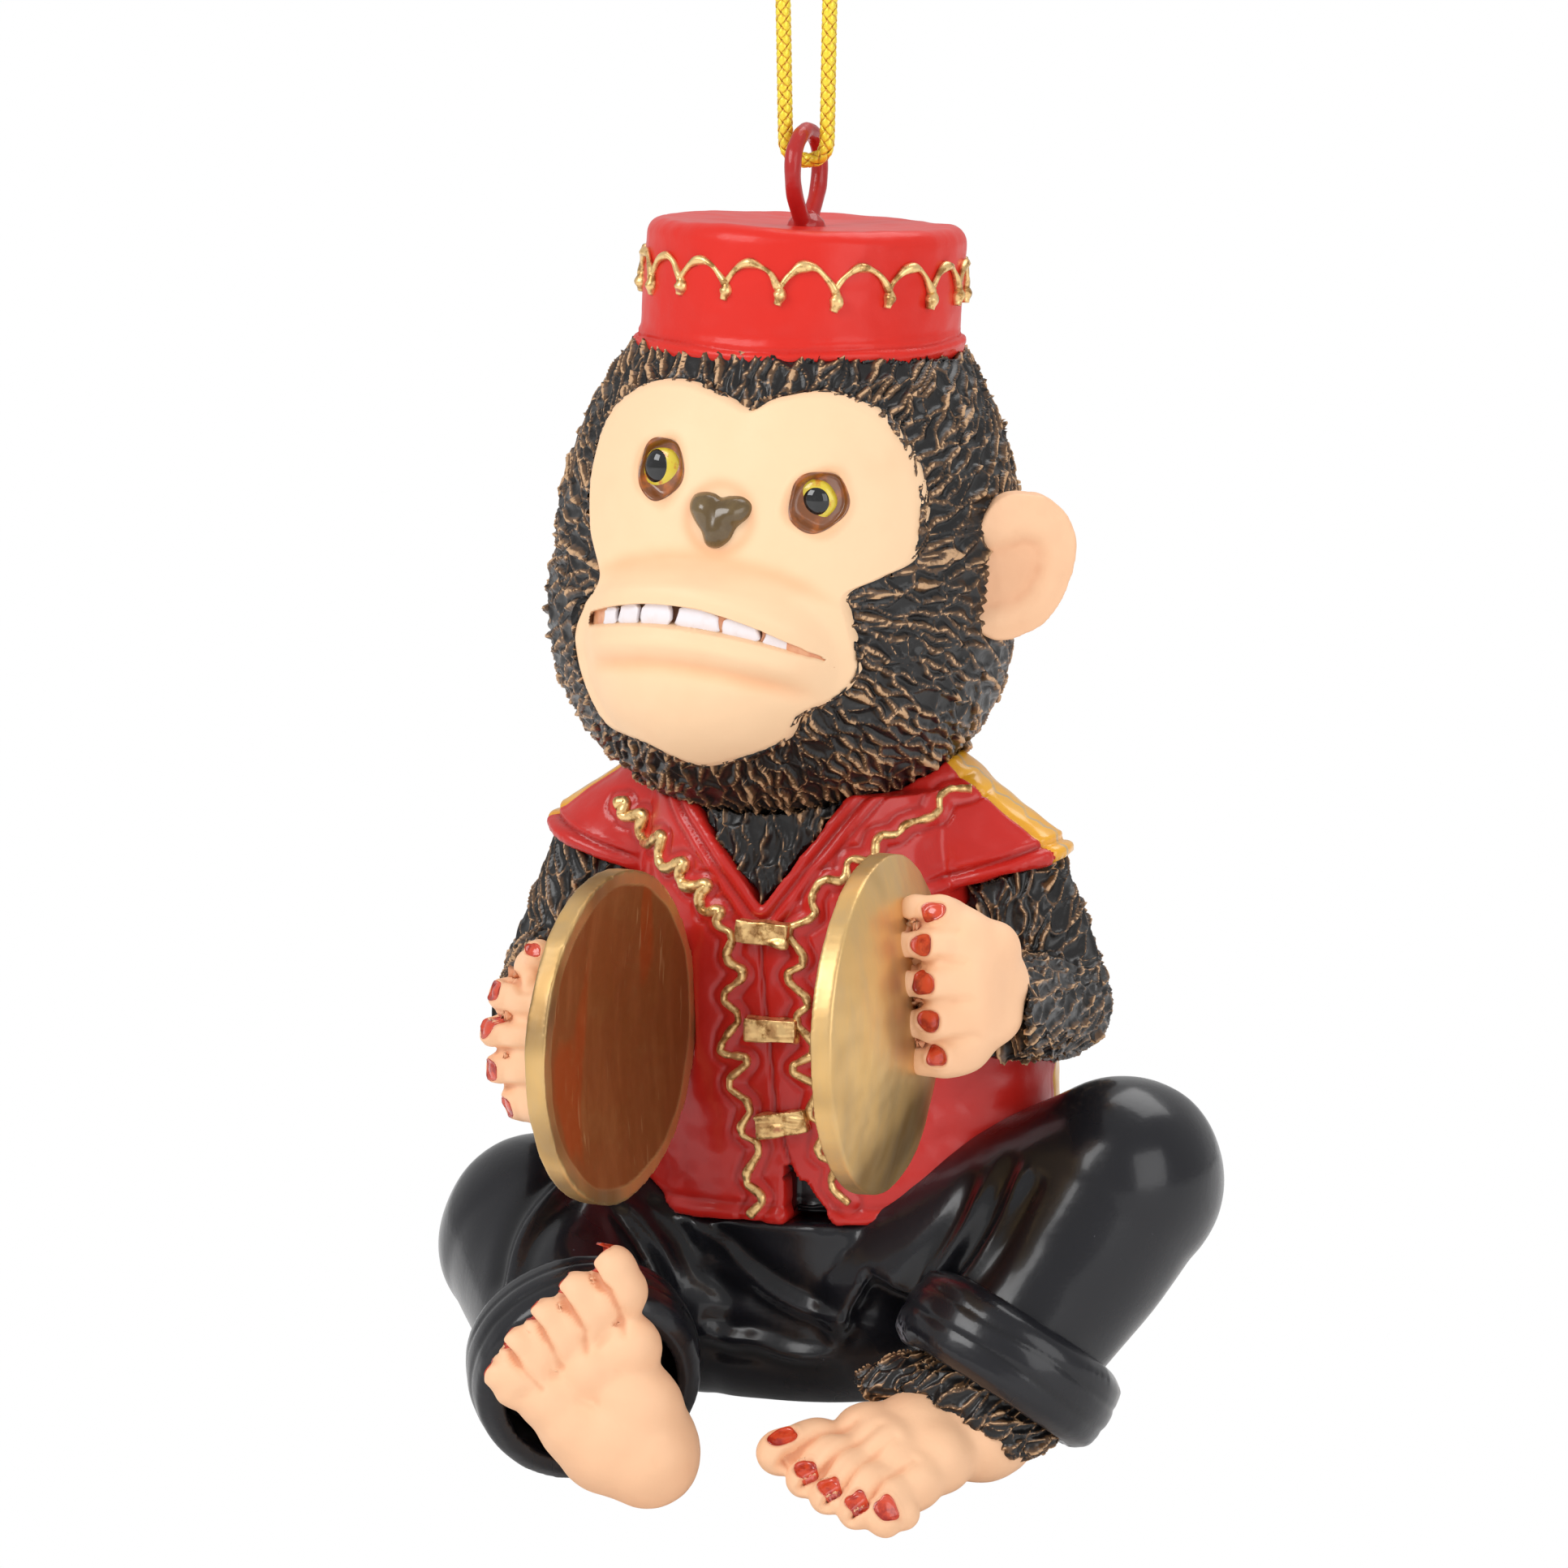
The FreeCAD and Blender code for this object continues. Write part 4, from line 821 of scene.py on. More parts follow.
def bare_depth(x, z):
    """The face before the eyes and the mouth are cut: how far in front of the head's middle."""
    round_of_head = 17.6 * np.sqrt(np.clip(1 - ((z - 0.5) / 25) ** 2, 0.05, 1)) + 0.95
    cheek = np.sqrt(np.clip(round_of_head**2 - x * x, 1, None))
    inside = np.clip(MUZZLE_RADIUS**2 - x * x - (z - MUZZLE_LEVEL) ** 2, 0, None)
    ball = MUZZLE_DEPTH + np.sqrt(inside)
    fold = lip_fold(x)
    muzzle = cheek + (ball - cheek) * smooth_step(0.9, -1.3, z - fold)
    front = (cheek + muzzle + np.sqrt((cheek - muzzle) ** 2 + 0.15)) / 2
    side = smooth_step(10.5, 7.0, np.abs(x))
    front += side * beads(z - upper_lip(x), (1.05, 0.55, 1.0))
    front += side * beads(z - lower_lip(x), (-1.0, 0.50, 0.95), (-2.9, -0.35, 0.7))
    front += side * beads(z - fold, (0.7, -0.20, 0.8))
    front -= 0.30 * hill(x - 0.9, 1.6) * hill(z - 14.0, 3.0)
    for brow_x, brow_z in ((-5.2, 13.2), (7.2, 13.0)):
        front += 0.30 * hill(x - brow_x, 3.5) * hill(z - brow_z, 1.6)
    return front


def face_depth(x, z):
    """How deep the face lies, with its eyes and mouth cut, for the relief."""
    front = bare_depth(x, z)
    for side in EYES:
        reach = eye_reach(side, x, z)
        front -= 0.72 * smooth_step(1.02, 0.78, reach) - 0.10 * hill(reach - 1.12, 0.12)
    open_lips = smooth_step(0.0, 0.16, upper_lip(x) - z) * smooth_step(0.0, 0.16, z - lower_lip(x))
    corner = smooth_step(0.0, 0.3, x - MOUTH_CORNERS[0]) * smooth_step(0.0, 0.3, MOUTH_CORNERS[1] - x)
    front -= 1.2 * open_lips * corner
    spots = np.stack([x, front, z], 1)
    uneven = 0.06 * grain(spots, 3.5, 20) + 0.015 * grain(spots, 1.3, 21)
    return -(front + uneven - 0.35 * smooth_step(0.975, 1.0, rim_share(x, z)))


face = relief("face_skin", face_rim, FACE_CENTRE, 104, face_depth, -8.0)
skin = Clay(face)
x, _, z = on_head(skin.points).T
# painted shade, darker and redder: along the crease under the nose and the one under the lower lip, round the
# eye bowls and round the nose
crease_shade = 0.6 * hill(z - (lip_fold(x) + 0.6), 0.7) * smooth_step(11, 7, np.abs(x))
crease_shade += 0.7 * hill(z - (lower_lip(x) - 2.9), 0.7) * smooth_step(10, 6, np.abs(x))
for side in EYES:
    crease_shade += 0.6 * hill(eye_reach(side, x, z) - 1.05, 0.16)
crease_shade += 0.7 * hill(np.hypot(x - 0.6, z - 7.2) - 2.5, 0.5)
mouth_dark = smooth_step(0.05, 0.3, upper_lip(x) - z) * smooth_step(0.05, 0.3, z - lower_lip(x))
skin.mark("crease_shade", np.clip(crease_shade, 0, 1))
skin.mark("mouth", mouth_dark * (x > MOUTH_CORNERS[0]) * (x < MOUTH_CORNERS[1]))
print("face relief", len(skin.points), "points")

# %% [markdown]
# ## The fur's edge at the face
#
# Behind the face the furred skin would poke through, so it is drawn back there and the part that can't
# be seen is cut away. The rest is split in two, front and back, which keeps each piece a fair size.

# %% The head behind the face
own = on_head(head.points)
covered = (own[:, 1] < -3) * smooth_step(0.995, 0.975, rim_share(own[:, 0], own[:, 2]))
behind_face = np.maximum(own[:, 1], face_depth(own[:, 0], own[:, 2]) + 0.6)
own[:, 1] += covered * (behind_face - own[:, 1])
head.points = from_head(own)
head.write()
seen = covered < 0.9
behind = own[:, 1] > 1.5
finish_piece(split(head, "head_fur_front", seen & ~behind), fur_brown, "head")
finish_piece(split(head, "head_fur_back", seen & behind), fur_brown, "head")
bpy.data.objects.remove(head.obj)

# %% [markdown]
# ## Flesh paint
#
# The flesh is matt cream, with painted shade, darker and redder, in the creases round the eyes, the nose and
# the lips, and the slot of the mouth is painted dark brown.

# %% Flesh paint
MOUTH_DARK = (0.10, 0.035, 0.012)


def flesh_paint(name, colour, shade_tint):
    """Matt flesh, with painted shade darker and redder round the features, and dark brown in the mouth."""
    made, tree = material(name)
    crease_shade = tree.attribute("crease_shade")
    soft = tree.noise(4.0, 2.0)
    fine = tree.noise(0.35, 2.0)
    # painted shade: the marked creases are mixed towards the darker shade tint, with a little random tone
    tint = tree.mix((crease_shade * 0.75 + (soft - 0.5) * 0.35).most(0), colour, shade_tint)
    inputs = {
        "Base Color": tree.mix(tree.attribute("mouth"), tint, MOUTH_DARK),
        "Roughness": 0.55 + (soft - 0.5) * 0.12,
        "Normal": tree.bump(0.12, fine + soft * 3),
        "Specular IOR Level": 0.35,
    }
    return finished(made, tree, inputs)


face_cream = flesh_paint("face_cream", (0.97, 0.66, 0.405), (0.88, 0.40, 0.19))
finish_piece(face, face_cream, "face")

# %% [markdown]
# ## Eyes
#
# Each eye is three coats of paint on a small bowl: brown to the bowl's uneven edge, a yellow ring with
# orange smears, and a glossy black bead. All are low domes, so they use the same relief as the
# face. The right eye looks up and outwards, the left one straight ahead.

# %% Eye paints
def gloss_paint(name, colour, second, size, low=0.45, high=0.75, rough=0.18, bump=0.1):
    """A glossy coat with streaks of a second colour."""
    made, tree = material(name)
    streak = tree.noise(size, 3.0, roughness=0.6)
    inputs = {
        "Base Color": tree.mix(streak.smooth(low, high), colour, second),
        "Roughness": rough + (streak - 0.5) * 0.1,
        "Normal": tree.bump(bump, streak),
        "Coat Weight": 0.5,
        "Coat Roughness": 0.08,
    }
    return finished(made, tree, inputs)


eye_brown = gloss_paint("eye_brown", (0.21, 0.066, 0.017), (0.46, 0.12, 0.014), 1.2, rough=0.3)
iris_yellow = gloss_paint("iris_yellow", (0.72, 0.56, 0.04), (0.62, 0.20, 0.02), 0.7, 0.52, 0.72, rough=0.22)
pupil_black = gloss_paint("pupil_black", (0.006,) * 3, (0.02, 0.02, 0.022), 1.0, rough=0.06, bump=0.03)


def ring_of(cx, cz, wide, tall, count, wobble, seed):
    """A slightly uneven oval."""
    angle = np.linspace(0, 2 * np.pi, count, endpoint=False)
    reach = 1 + wobble * np.sin(3 * angle + seed) + wobble * 0.7 * np.sin(5 * angle + 2 * seed)
    return np.stack([cx + wide * reach * np.cos(angle), cz + tall * reach * np.sin(angle)], 1)


def bowl_depth(x, z):
    return face_depth(x, z) - 0.05


COATS = [
    # the name, its node and paint; x, z, half width and half height; rise, start and back of the dome
    ("_iris_ring", "_iris", iris_yellow, IRIS, 0.62, 0.15, 1.2, (72, 0.03, 1.0)),
    ("_pupil_bead", "_pupil", pupil_black, PUPIL, 0.72, 0.05, 1.0, (64, 0.02, 2.0)),
]
for side, (cx, cz, wide, tall) in EYES.items():
    floor_depth = face_depth(np.array([cx]), np.array([cz]))[0]
    slope = -0.3 * EYE_TILTS[side]
    rim = ring_of(cx, cz, wide, tall, 96, 0.035, cx)
    bowl = relief(side + "_eye_bowl", rim, (cx, cz), 14, bowl_depth, floor_depth + 1.4)
    finish_piece(bowl, eye_brown, side + "_eye_socket")
    for name, node, paint, spots, rise, start, back, ring in COATS:
        mx, mz, half_wide, half_tall = spots[side]

        def dome(x, z):
            u = np.clip(np.hypot((x - mx) / half_wide, (z - mz) / half_tall), 0, 1)
            return floor_depth + start - rise * np.sqrt(1 - 0.96 * u * u) + slope * (x - cx)

        rim = ring_of(*spots[side], *ring)
        finish_piece(relief(side + name, rim, (mx, mz), 12, dome, floor_depth + back), paint, side + node)

# %% [markdown]
# ## Nose
#
# The nose is a small heart of glossy brown. It is a relief too: its outline is as smooth as the face's,
# it rises like a pillow from the face, and three low lumps make the wings and the tip.

# %% Nose
NOSE_OUTLINE = [
    (0.55, 8.75), (1.2, 8.95), (2.2, 9.0), (2.95, 8.5), (2.85, 7.6), (2.1, 6.7), (1.7, 5.7), (0.9, 5.0),
    (0.0, 5.05), (-0.55, 6.0), (-1.3, 6.8), (-1.85, 7.7), (-1.6, 8.6), (-0.8, 8.95), (0.0, 8.95),
]
nose_rim = closed_line(NOSE_OUTLINE, 110)
NOSE_MIDDLE = np.array((0.65, 7.3))
# the two nostrils' wings and the tip: x, z, height, width and tallness
NOSE_LUMPS = [(1.9, 8.0, 0.25, 0.8, 0.8), (-0.7, 8.0, 0.25, 0.8, 0.8), (0.7, 6.3, 0.2, 0.6, 1.0)]


def nose_depth(x, z):
    """A pillow on the bare face, with its lumps."""
    u = np.clip(rim_share(x, z, nose_rim, NOSE_MIDDLE), 0, 1)
    rise = 1.15 * np.sqrt(1 - 0.99 * u**2.4)
    for cx, cz, height, wide, tall in NOSE_LUMPS:
        rise += height * hill(x - cx, wide) * hill(z - cz, tall)
    return -(bare_depth(x, z) - 0.15 + rise)


nose = relief("nose_heart", nose_rim, NOSE_MIDDLE, 16, nose_depth, -16.0)
nose_brown = gloss_paint("nose_brown", (0.105, 0.062, 0.018), (0.155, 0.098, 0.034), 1.6, 0.4, 0.8, 0.25)
finish_piece(nose, nose_brown, "nose")

# %% [markdown]
# ## Teeth
#
# Six blocky teeth were painted rather than carved: each nearly fills the slot between the lips, and a
# brown hole or a bridge of flesh parts it from the next. The gum runs on to the corner.

# %% Teeth and gum
# the left and right end of each block, and how far its top is lowered
TEETH = [
    (-7.9, -6.65, 0.15), (-6.3, -4.55, 0.1), (-4.2, -1.75, 0.0), (-1.15, 2.15, 0.05),
    (2.5, 5.05, 0.05), (5.5, 7.45, 0.1),
]
BRIDGES = [
    (6.9, MOUTH_CORNERS[1] - 0.1, 0.0), (1.9, 2.8, 0.0), (5.25, 5.5, 0.0), (MOUTH_CORNERS[0], -7.5, 0.0),
]


def block_rim(left, right, drop, count=64):
    """Outline of a block between the lips, its corners cut, its top lowered by drop."""
    angle = np.linspace(0, 2 * np.pi, count, endpoint=False)
    u = np.sign(np.cos(angle)) * np.abs(np.cos(angle)) ** 0.45
    v = np.sign(np.sin(angle)) * np.abs(np.sin(angle)) ** 0.45
    x = (left + right) / 2 + u * (right - left) / 2 * (1 - 0.10 * v)
    low, high = lower_lip(x) - 0.04, upper_lip(x) + 0.06 - drop
    return np.stack([x + 0.05 * np.sin(7 * angle + left), (low + high) / 2 + v * (high - low) / 2], 1)


def tooth_depth(x, z):
    """Just behind the lips, a little rounded from top to bottom."""
    middle = (upper_lip(x) + lower_lip(x)) / 2
    worn = 0.05 * grain(np.stack([x, z, 0 * x], 1), 0.8, 25)
    return -(bare_depth(x, middle) - 0.50 - 0.12 * (z - middle) ** 2 + worn)


def gum_depth(x, z):
    return tooth_depth(x, z) + 0.22 - 0.4 * smooth_step(6.5, 7.5, x)


def blocks(name, spans, depth):
    """A row of blocks between the lips."""
    pieces = []
    for span in spans:
        rim = block_rim(*span)
        centre = rim.mean(0)
        back = 2.0 - bare_depth(centre[:1], centre[1:])[0]
        pieces.append(relief(name, rim, centre, 8, depth, back))
    return joined(name, pieces)


tooth_white = gloss_paint("tooth_white", (0.86, 0.83, 0.88), (0.78, 0.72, 0.72), 1.5, 0.5, 0.9, rough=0.3)
finish_piece(blocks("teeth_row", TEETH, tooth_depth), tooth_white, "teeth")
gum_pink = gloss_paint("gum_pink", (0.80, 0.40, 0.21), (0.70, 0.28, 0.14), 1.2, 0.4, 0.7, rough=0.4)
finish_piece(blocks("gum_strip", BRIDGES, gum_depth), gum_pink, "gums")

# %% [markdown]
# ## Neck, arms and the right ankle
#
# These are melted from their solids and combed: down the chest and the shin, and along each forearm
# to its wrist.

# %% Neck, arms and the right ankle
WRISTS = {"left": (21.0, -19.0, 41.5), "right": (-14.5, -19.0, 35.5)}


def fur_piece(name, node, voxel, soften, growth, seed, goal=None):
    """Fur on one solid, combed one way and, where there is a goal, towards it."""
    skin = clay(name, [node], voxel)
    skin.relax(soften)
    if goal:
        growth = unit(np.array(goal) - skin.points) + growth
    fur(skin, np.array(growth), seed=seed)
    finish_piece(skin.obj, fur_brown, node)


fur_piece("neck_fur_skin", "neck_fur", 0.22, 4, (0, 0, -1), 4)
for side, wrist in WRISTS.items():
    fur_piece(side + "_arm_fur", side + "_arm", 0.2, 6, (0, 0, -0.5), 6, wrist)
fur_piece("right_ankle_skin", "right_ankle_fur", 0.2, 4, (0, -0.2, -1), 9)

# %% [markdown]
# ## The vest
#
# The vest is one skin, painted red in front and yellow behind. It is let out at the figure's left
# side, where it hangs over the hip. Lines in it are grooves and beads at a distance from a path: the
# lapels follow the neck opening, the seam runs down the front, and the sleeves and the hem are
# rolled. Below the last toggle the two fronts part, and the paint is black in that opening.

# %% Vest
NECK_LINE = [(-7.5, 54.5), (0.4, 45.0), (7.5, 54.5)]
FRONT_SEAM = [(0.3, 43.5), (0.5, 40.9), (1.6, 29.4), (2.4, 26.8), (3.2, 24.2)]
BRAID = {
    "right": [
        (-14.0, 50.8), (-13.1, 51.0), (-13.2, 50.0), (-11.4, 50.2), (-11.7, 49.1), (-10.7, 48.3),
        (-8.7, 49.3), (-8.8, 47.9), (-8.0, 47.1), (-6.3, 47.7), (-6.5, 46.8), (-5.8, 46.0),
        (-4.1, 46.3), (-4.6, 45.4), (-4.2, 44.3), (-2.9, 44.4), (-3.1, 43.4), (-1.9, 42.5),
        (-2.2, 40.8), (-1.0, 39.6), (-2.5, 37.8), (-1.4, 36.3), (-2.4, 34.6), (-2.6, 33.4),
        (-0.7, 32.9), (-2.1, 31.0), (-0.5, 29.4), (-1.1, 27.4), (0.3, 26.2), (-0.6, 23.8),
        (0.6, 22.4), (-0.3, 21.0),
    ],
    "left": [
        (14.3, 53.4), (12.6, 53.2), (12.3, 51.8), (10.8, 51.3), (10.2, 50.6), (9.1, 50.4),
        (8.7, 48.9), (7.3, 48.8), (6.9, 47.4), (5.4, 47.2), (4.6, 45.8), (4.7, 44.5), (2.9, 43.2),
        (4.0, 41.1), (2.8, 39.7), (4.3, 37.9), (3.5, 36.4), (4.8, 34.2), (3.2, 32.6), (5.0, 31.2),
        (4.5, 29.3), (5.5, 28.1), (5.2, 26.2), (6.4, 25.3), (6.2, 23.7), (7.4, 22.3),
    ],
}
SHOULDER_SPREAD = 16.5
SHOULDER_LEVEL = 45.9
SLEEVE_SLOPE = math.radians(18)
SLEEVE_HEM = 0.9
HEM_LEVEL = 20.5
SEAM_LEAN = math.radians(2.3)
LET_OUT = 6.2
OPENING_TOP = 24


def behind_seam(points):
    """How far behind the seam between red and yellow."""
    x, y, z = points.T
    forward = 0.8 * smooth_step(9, 15, x) * smooth_step(43, 47, z)
    return (y - 0.5 + forward) * math.cos(SEAM_LEAN) + (z - 15.5) * math.sin(SEAM_LEAN)


vest = clay("vest_skin", ["vest_front", "vest_back"], 0.21)
vest.relax(5)
x, y, z = vest.points.T
vest.points[:, 0] += LET_OUT * smooth_step(44, 34, z) * smooth_step(5, 15, x) * smooth_step(-13, -5, y)
vest.write()
x, y, z = vest.points.T
neck = line_distance(x, z, NECK_LINE)[0]
edging = np.minimum(*(line_distance(x, z, corners)[0] for corners in BRAID.values()))
fine = beads(neck, (0.5, 0.16, 0.3), (1.05, -0.24, 0.2), (1.6, 0.10, 0.25), (2.1, -0.16, 0.16))
fine += beads(edging, (0, 0.12, 0.5), (0.95, -0.16, 0.2))
fine += beads(line_distance(x, z, FRONT_SEAM)[0], (0, -0.40, 0.13))
fine *= smooth_step(0.1, -0.5, vest.normals[:, 1])
for sign in SIGNS.values():
    outward = sign * x - SHOULDER_SPREAD
    above = (z - SHOULDER_LEVEL) * math.cos(SLEEVE_SLOPE) - outward * math.sin(SLEEVE_SLOPE) - SLEEVE_HEM
    on_sleeve = smooth_step(11.5, 13.5, sign * x)
    fine += on_sleeve * beads(above, (0.45, 0.28, 0.4), (1.15, -0.26, 0.2), (1.6, 0.1, 0.2))
fine += beads(z - HEM_LEVEL, (0.5, 0.22, 0.45), (1.3, -0.10, 0.3)) * (np.abs(x) < 15)
seam = behind_seam(vest.points)
fine += beads(seam, (-0.35, 0.08, 0.2), (0, -0.22, 0.16))
opening = smooth_step(-0.2, 0.1, x - 2.5) * smooth_step(0.2, -0.1, x - 3.5 - 0.75 * (OPENING_TOP - z))
opening *= (y < -6) * (z < OPENING_TOP + 1)
broad = 0.32 * grain(vest.points * (1, 1, 0.45), 5.5, 30) + 0.13 * grain(vest.points, 2.0, 31)
vest.push(broad + fine - 1.2 * opening)
# the grooves of the fine lines, which the paint darkens as painted shade
vest.mark("groove", np.clip(-fine * 4, 0, 1))
vest.mark("opening", opening)
wave = seam - 1.7 - 0.4 * np.sin(np.abs(x) * 2.3) - 0.2 * np.sin(np.abs(x) * 5.1)
vest.mark("squiggle", smooth_step(0.22, 0.08, np.abs(wave)) * (z > 44))
print("vest skin", len(vest.points), "points")

# %% [markdown]
# ## Gloss paint
#
# The vest is brushed with gloss paint under a clear coat. Its grooves are darkened with painted shade. The
# hat and the trousers get the same kind of paint later.

# %% Vest paints
def gloss_coat(name, colour, deep, rough, coat, scuff=0.0, mirror=0.35):
    """Brushed gloss paint with painted shade in the grooves, black in an opening, pale where scraped or
    scuffed.
    """
    made, tree = material(name)
    soft = tree.noise(7.0, 2.0)
    fine = tree.noise(0.5, 3.0)
    # painted shade: the marked grooves are darkened towards the deep colour
    tint = tree.mix((tree.attribute("groove") * 0.8 + (soft - 0.5) * 0.6).most(0), colour, deep)
    tint = tree.mix(tree.attribute("opening"), tint, (0.008, 0.008, 0.01))
    tint = tree.mix(tree.attribute("scrape") * fine.smooth(0.42, 0.5), tint, (0.34, 0.34, 0.38))
    if scuff:
        worn = tree.noise(1.1, 4.0, roughness=0.7).smooth(0.70, 0.80)
        tint = tree.mix(worn * scuff, tint, (0.30, 0.30, 0.34))
    inputs = {
        "Base Color": tint,
        "Roughness": rough + (soft - 0.5) * 0.15,
        "Normal": tree.bump(0.18, fine + soft * 2),
        "Coat Weight": coat,
        "Coat Roughness": 0.12,
        "Specular IOR Level": mirror,
    }
    return finished(made, tree, inputs)


def yellow_coat():
    """Golden yellow with a thin grey squiggle painted along the seam."""
    made, tree = material("vest_yellow")
    soft = tree.noise(5.0, 2.0)
    squiggle = tree.attribute("squiggle")
    tint = tree.mix(soft.smooth(0.3, 0.8), (0.90, 0.44, 0.018), (0.80, 0.34, 0.012))
    inputs = {
        "Base Color": tree.mix(squiggle * 0.8, tint, (0.42, 0.37, 0.26)),
        "Roughness": 0.32,
        "Normal": tree.bump(0.15, soft * 2 + squiggle),
        "Coat Weight": 0.4,
        "Coat Roughness": 0.12,
    }
    return finished(made, tree, inputs)


vest_red = gloss_coat("vest_red", (0.60, 0.019, 0.013), (0.30, 0.008, 0.006), 0.32, 0.25)
is_back = behind_seam(vest.points) > 0
finish_piece(split(vest, "vest_red_front", ~is_back), vest_red, "vest_front")
finish_piece(split(vest, "vest_yellow_back", is_back), yellow_coat(), "vest_back")

# %% [markdown]
# ## Gold trim
#
# The zigzag lines were piped on by hand. Each is a bead that follows its corners, laid on the vest
# by casting a ray at it from the front, and its width swells and thins on the way. The toggles are
# rough bars.

# %% Braid and toggles
ZIGZAG = 0.4
BRAID_WIDTH = 0.66
BRAID_RISE = 0.32


def gold_paint():
    """Brassy paint, streaked with brown, and rubbed through to the red here and there."""
    made, tree = material("gold_paint")
    streak = tree.noise(0.8, 4.0, roughness=0.65)
    worn = tree.noise(1.76, 3.0).smooth(0.66, 0.74)
    tint = tree.mix(streak.smooth(0.46, 0.66), (0.92, 0.62, 0.27), (0.40, 0.20, 0.06))
    inputs = {
        "Base Color": tree.mix(worn * 0.8, tint, (0.45, 0.03, 0.02)),
        "Metallic": 0.75 - worn * 0.65,
        "Roughness": 0.26 + streak * 0.15,
        "Normal": tree.bump(0.35, streak),
    }
    return finished(made, tree, inputs)


gold = gold_paint()
vest_tree = tree_of(vest.obj)
bpy.data.objects.remove(vest.obj)
for side, corners in BRAID.items():
    corners = np.array(corners)
    corners[1:-1] += ZIGZAG * (corners[1:-1] - (corners[:-2] + corners[2:]) / 2)
    path, normals = [], []
    for px, pz in evenly(rounded(corners, 1), 0.1):
        spot, normal, _, _ = vest_tree.ray_cast((px, -40, pz), (0, 1, 0))
        if spot is not None and (not path or abs(spot.y - path[-1][1]) < 1.2):
            path.append(tuple(spot))
            normals.append(tuple(normal))
    path, normals = np.array(path), np.array(normals)
    for _ in range(3):
        normals[1:-1] = (normals[:-2] + normals[1:-1] + normals[2:]) / 3
        path[1:-1] = (path[:-2] + 2 * path[1:-1] + path[2:]) / 4
    normals = unit(normals)
    swell = 1 + 0.3 * grain(path, 1.4, 40) + 0.2 * grain(path, 0.6, 41)
    if side == "right":
        swell *= 1 + 0.5 * smooth_step(43, 46, path[:, 2])
    line = bead(side + "_braid", path, normals, BRAID_WIDTH * swell, BRAID_RISE * swell)
    finish_piece(line, gold, side + "_vest_braid")

for seed, name in enumerate(("top", "middle", "bottom"), start=51):
    toggle = clay(name + "_bar", [name + "_toggle"], 0.08)
    toggle.relax(3)
    streaks = 0.14 * grain(toggle.points * (0.25, 1, 1), 0.7, seed)
    toggle.push(streaks + 0.12 * grain(toggle.points, 1.2, seed + 3) + 0.06)
    finish_piece(toggle.obj, gold, name + "_toggle")

# %% [markdown]
# ## Hat
#
# The hat is a softened copy of the turned body, set a little lower and straighter, with a wavy groove
# over the rolled brim. The scallops are one arch with a drop at its foot, copied round the hat by a
# node tree.

# %% Hat
HAT_TILT = math.radians(1.0)
HAT_LEAN = math.radians(-3.6)
HAT_TOP = np.array((0, 0, 95.6))
HAT_RADIUS = 12.2
BRIM_LEVEL = -8.1
STRAIGHTER = 0.026
LOWER = 0.5
hat_turn = np.array(Matrix.Rotation(HAT_TILT, 3, "Y") @ Matrix.Rotation(HAT_LEAN, 3, "X"))

hat = clay("hat_skin", ["hat"], 0.2)
hat.relax(8)
hat.points[:, 2] += STRAIGHTER * hat.points[:, 0] - LOWER
hx, hy, hz = ((hat.points - HAT_TOP) @ hat_turn).T
hat.points[:, 2] += smooth_step(-4, -10, hz) * (0.03 * hx + 0.05 * np.minimum(hy, 0))
hat.write()
around = np.arctan2(hy, hx)
side_on = smooth_step(0.8, 0.4, np.abs(hat.normals @ hat_turn[:, 2]))
brim = hz - BRIM_LEVEL - 0.16 * np.sin(2 * around + 0.5) - 0.1 * np.sin(5 * around)
lines = beads(brim, (0, -0.22, 0.16), (-0.5, 0.10, 0.4), (-0.95, -0.07, 0.1)) * side_on
hat.push(0.22 * grain(hat.points, 7.0, 60) + 0.05 * grain(hat.points, 1.6, 61) + lines)
# the grooves of the brim, which the paint darkens as painted shade
hat.mark("groove", np.clip(-lines * 3, 0, 1) * 0.5)
red_paint = gloss_coat("red_paint", (0.71, 0.024, 0.014), (0.48, 0.014, 0.010), 0.36, 0.12, mirror=0.25)
finish_piece(hat.obj, red_paint, "hat")

# %% [markdown]
# ## Scallops round the hat
#
# The scallops repeat, so they are the work of Geometry Nodes: one arch and one drop are made as
# beads, and a node tree copies them round the hat. Its inputs set how many there are and how uneven.

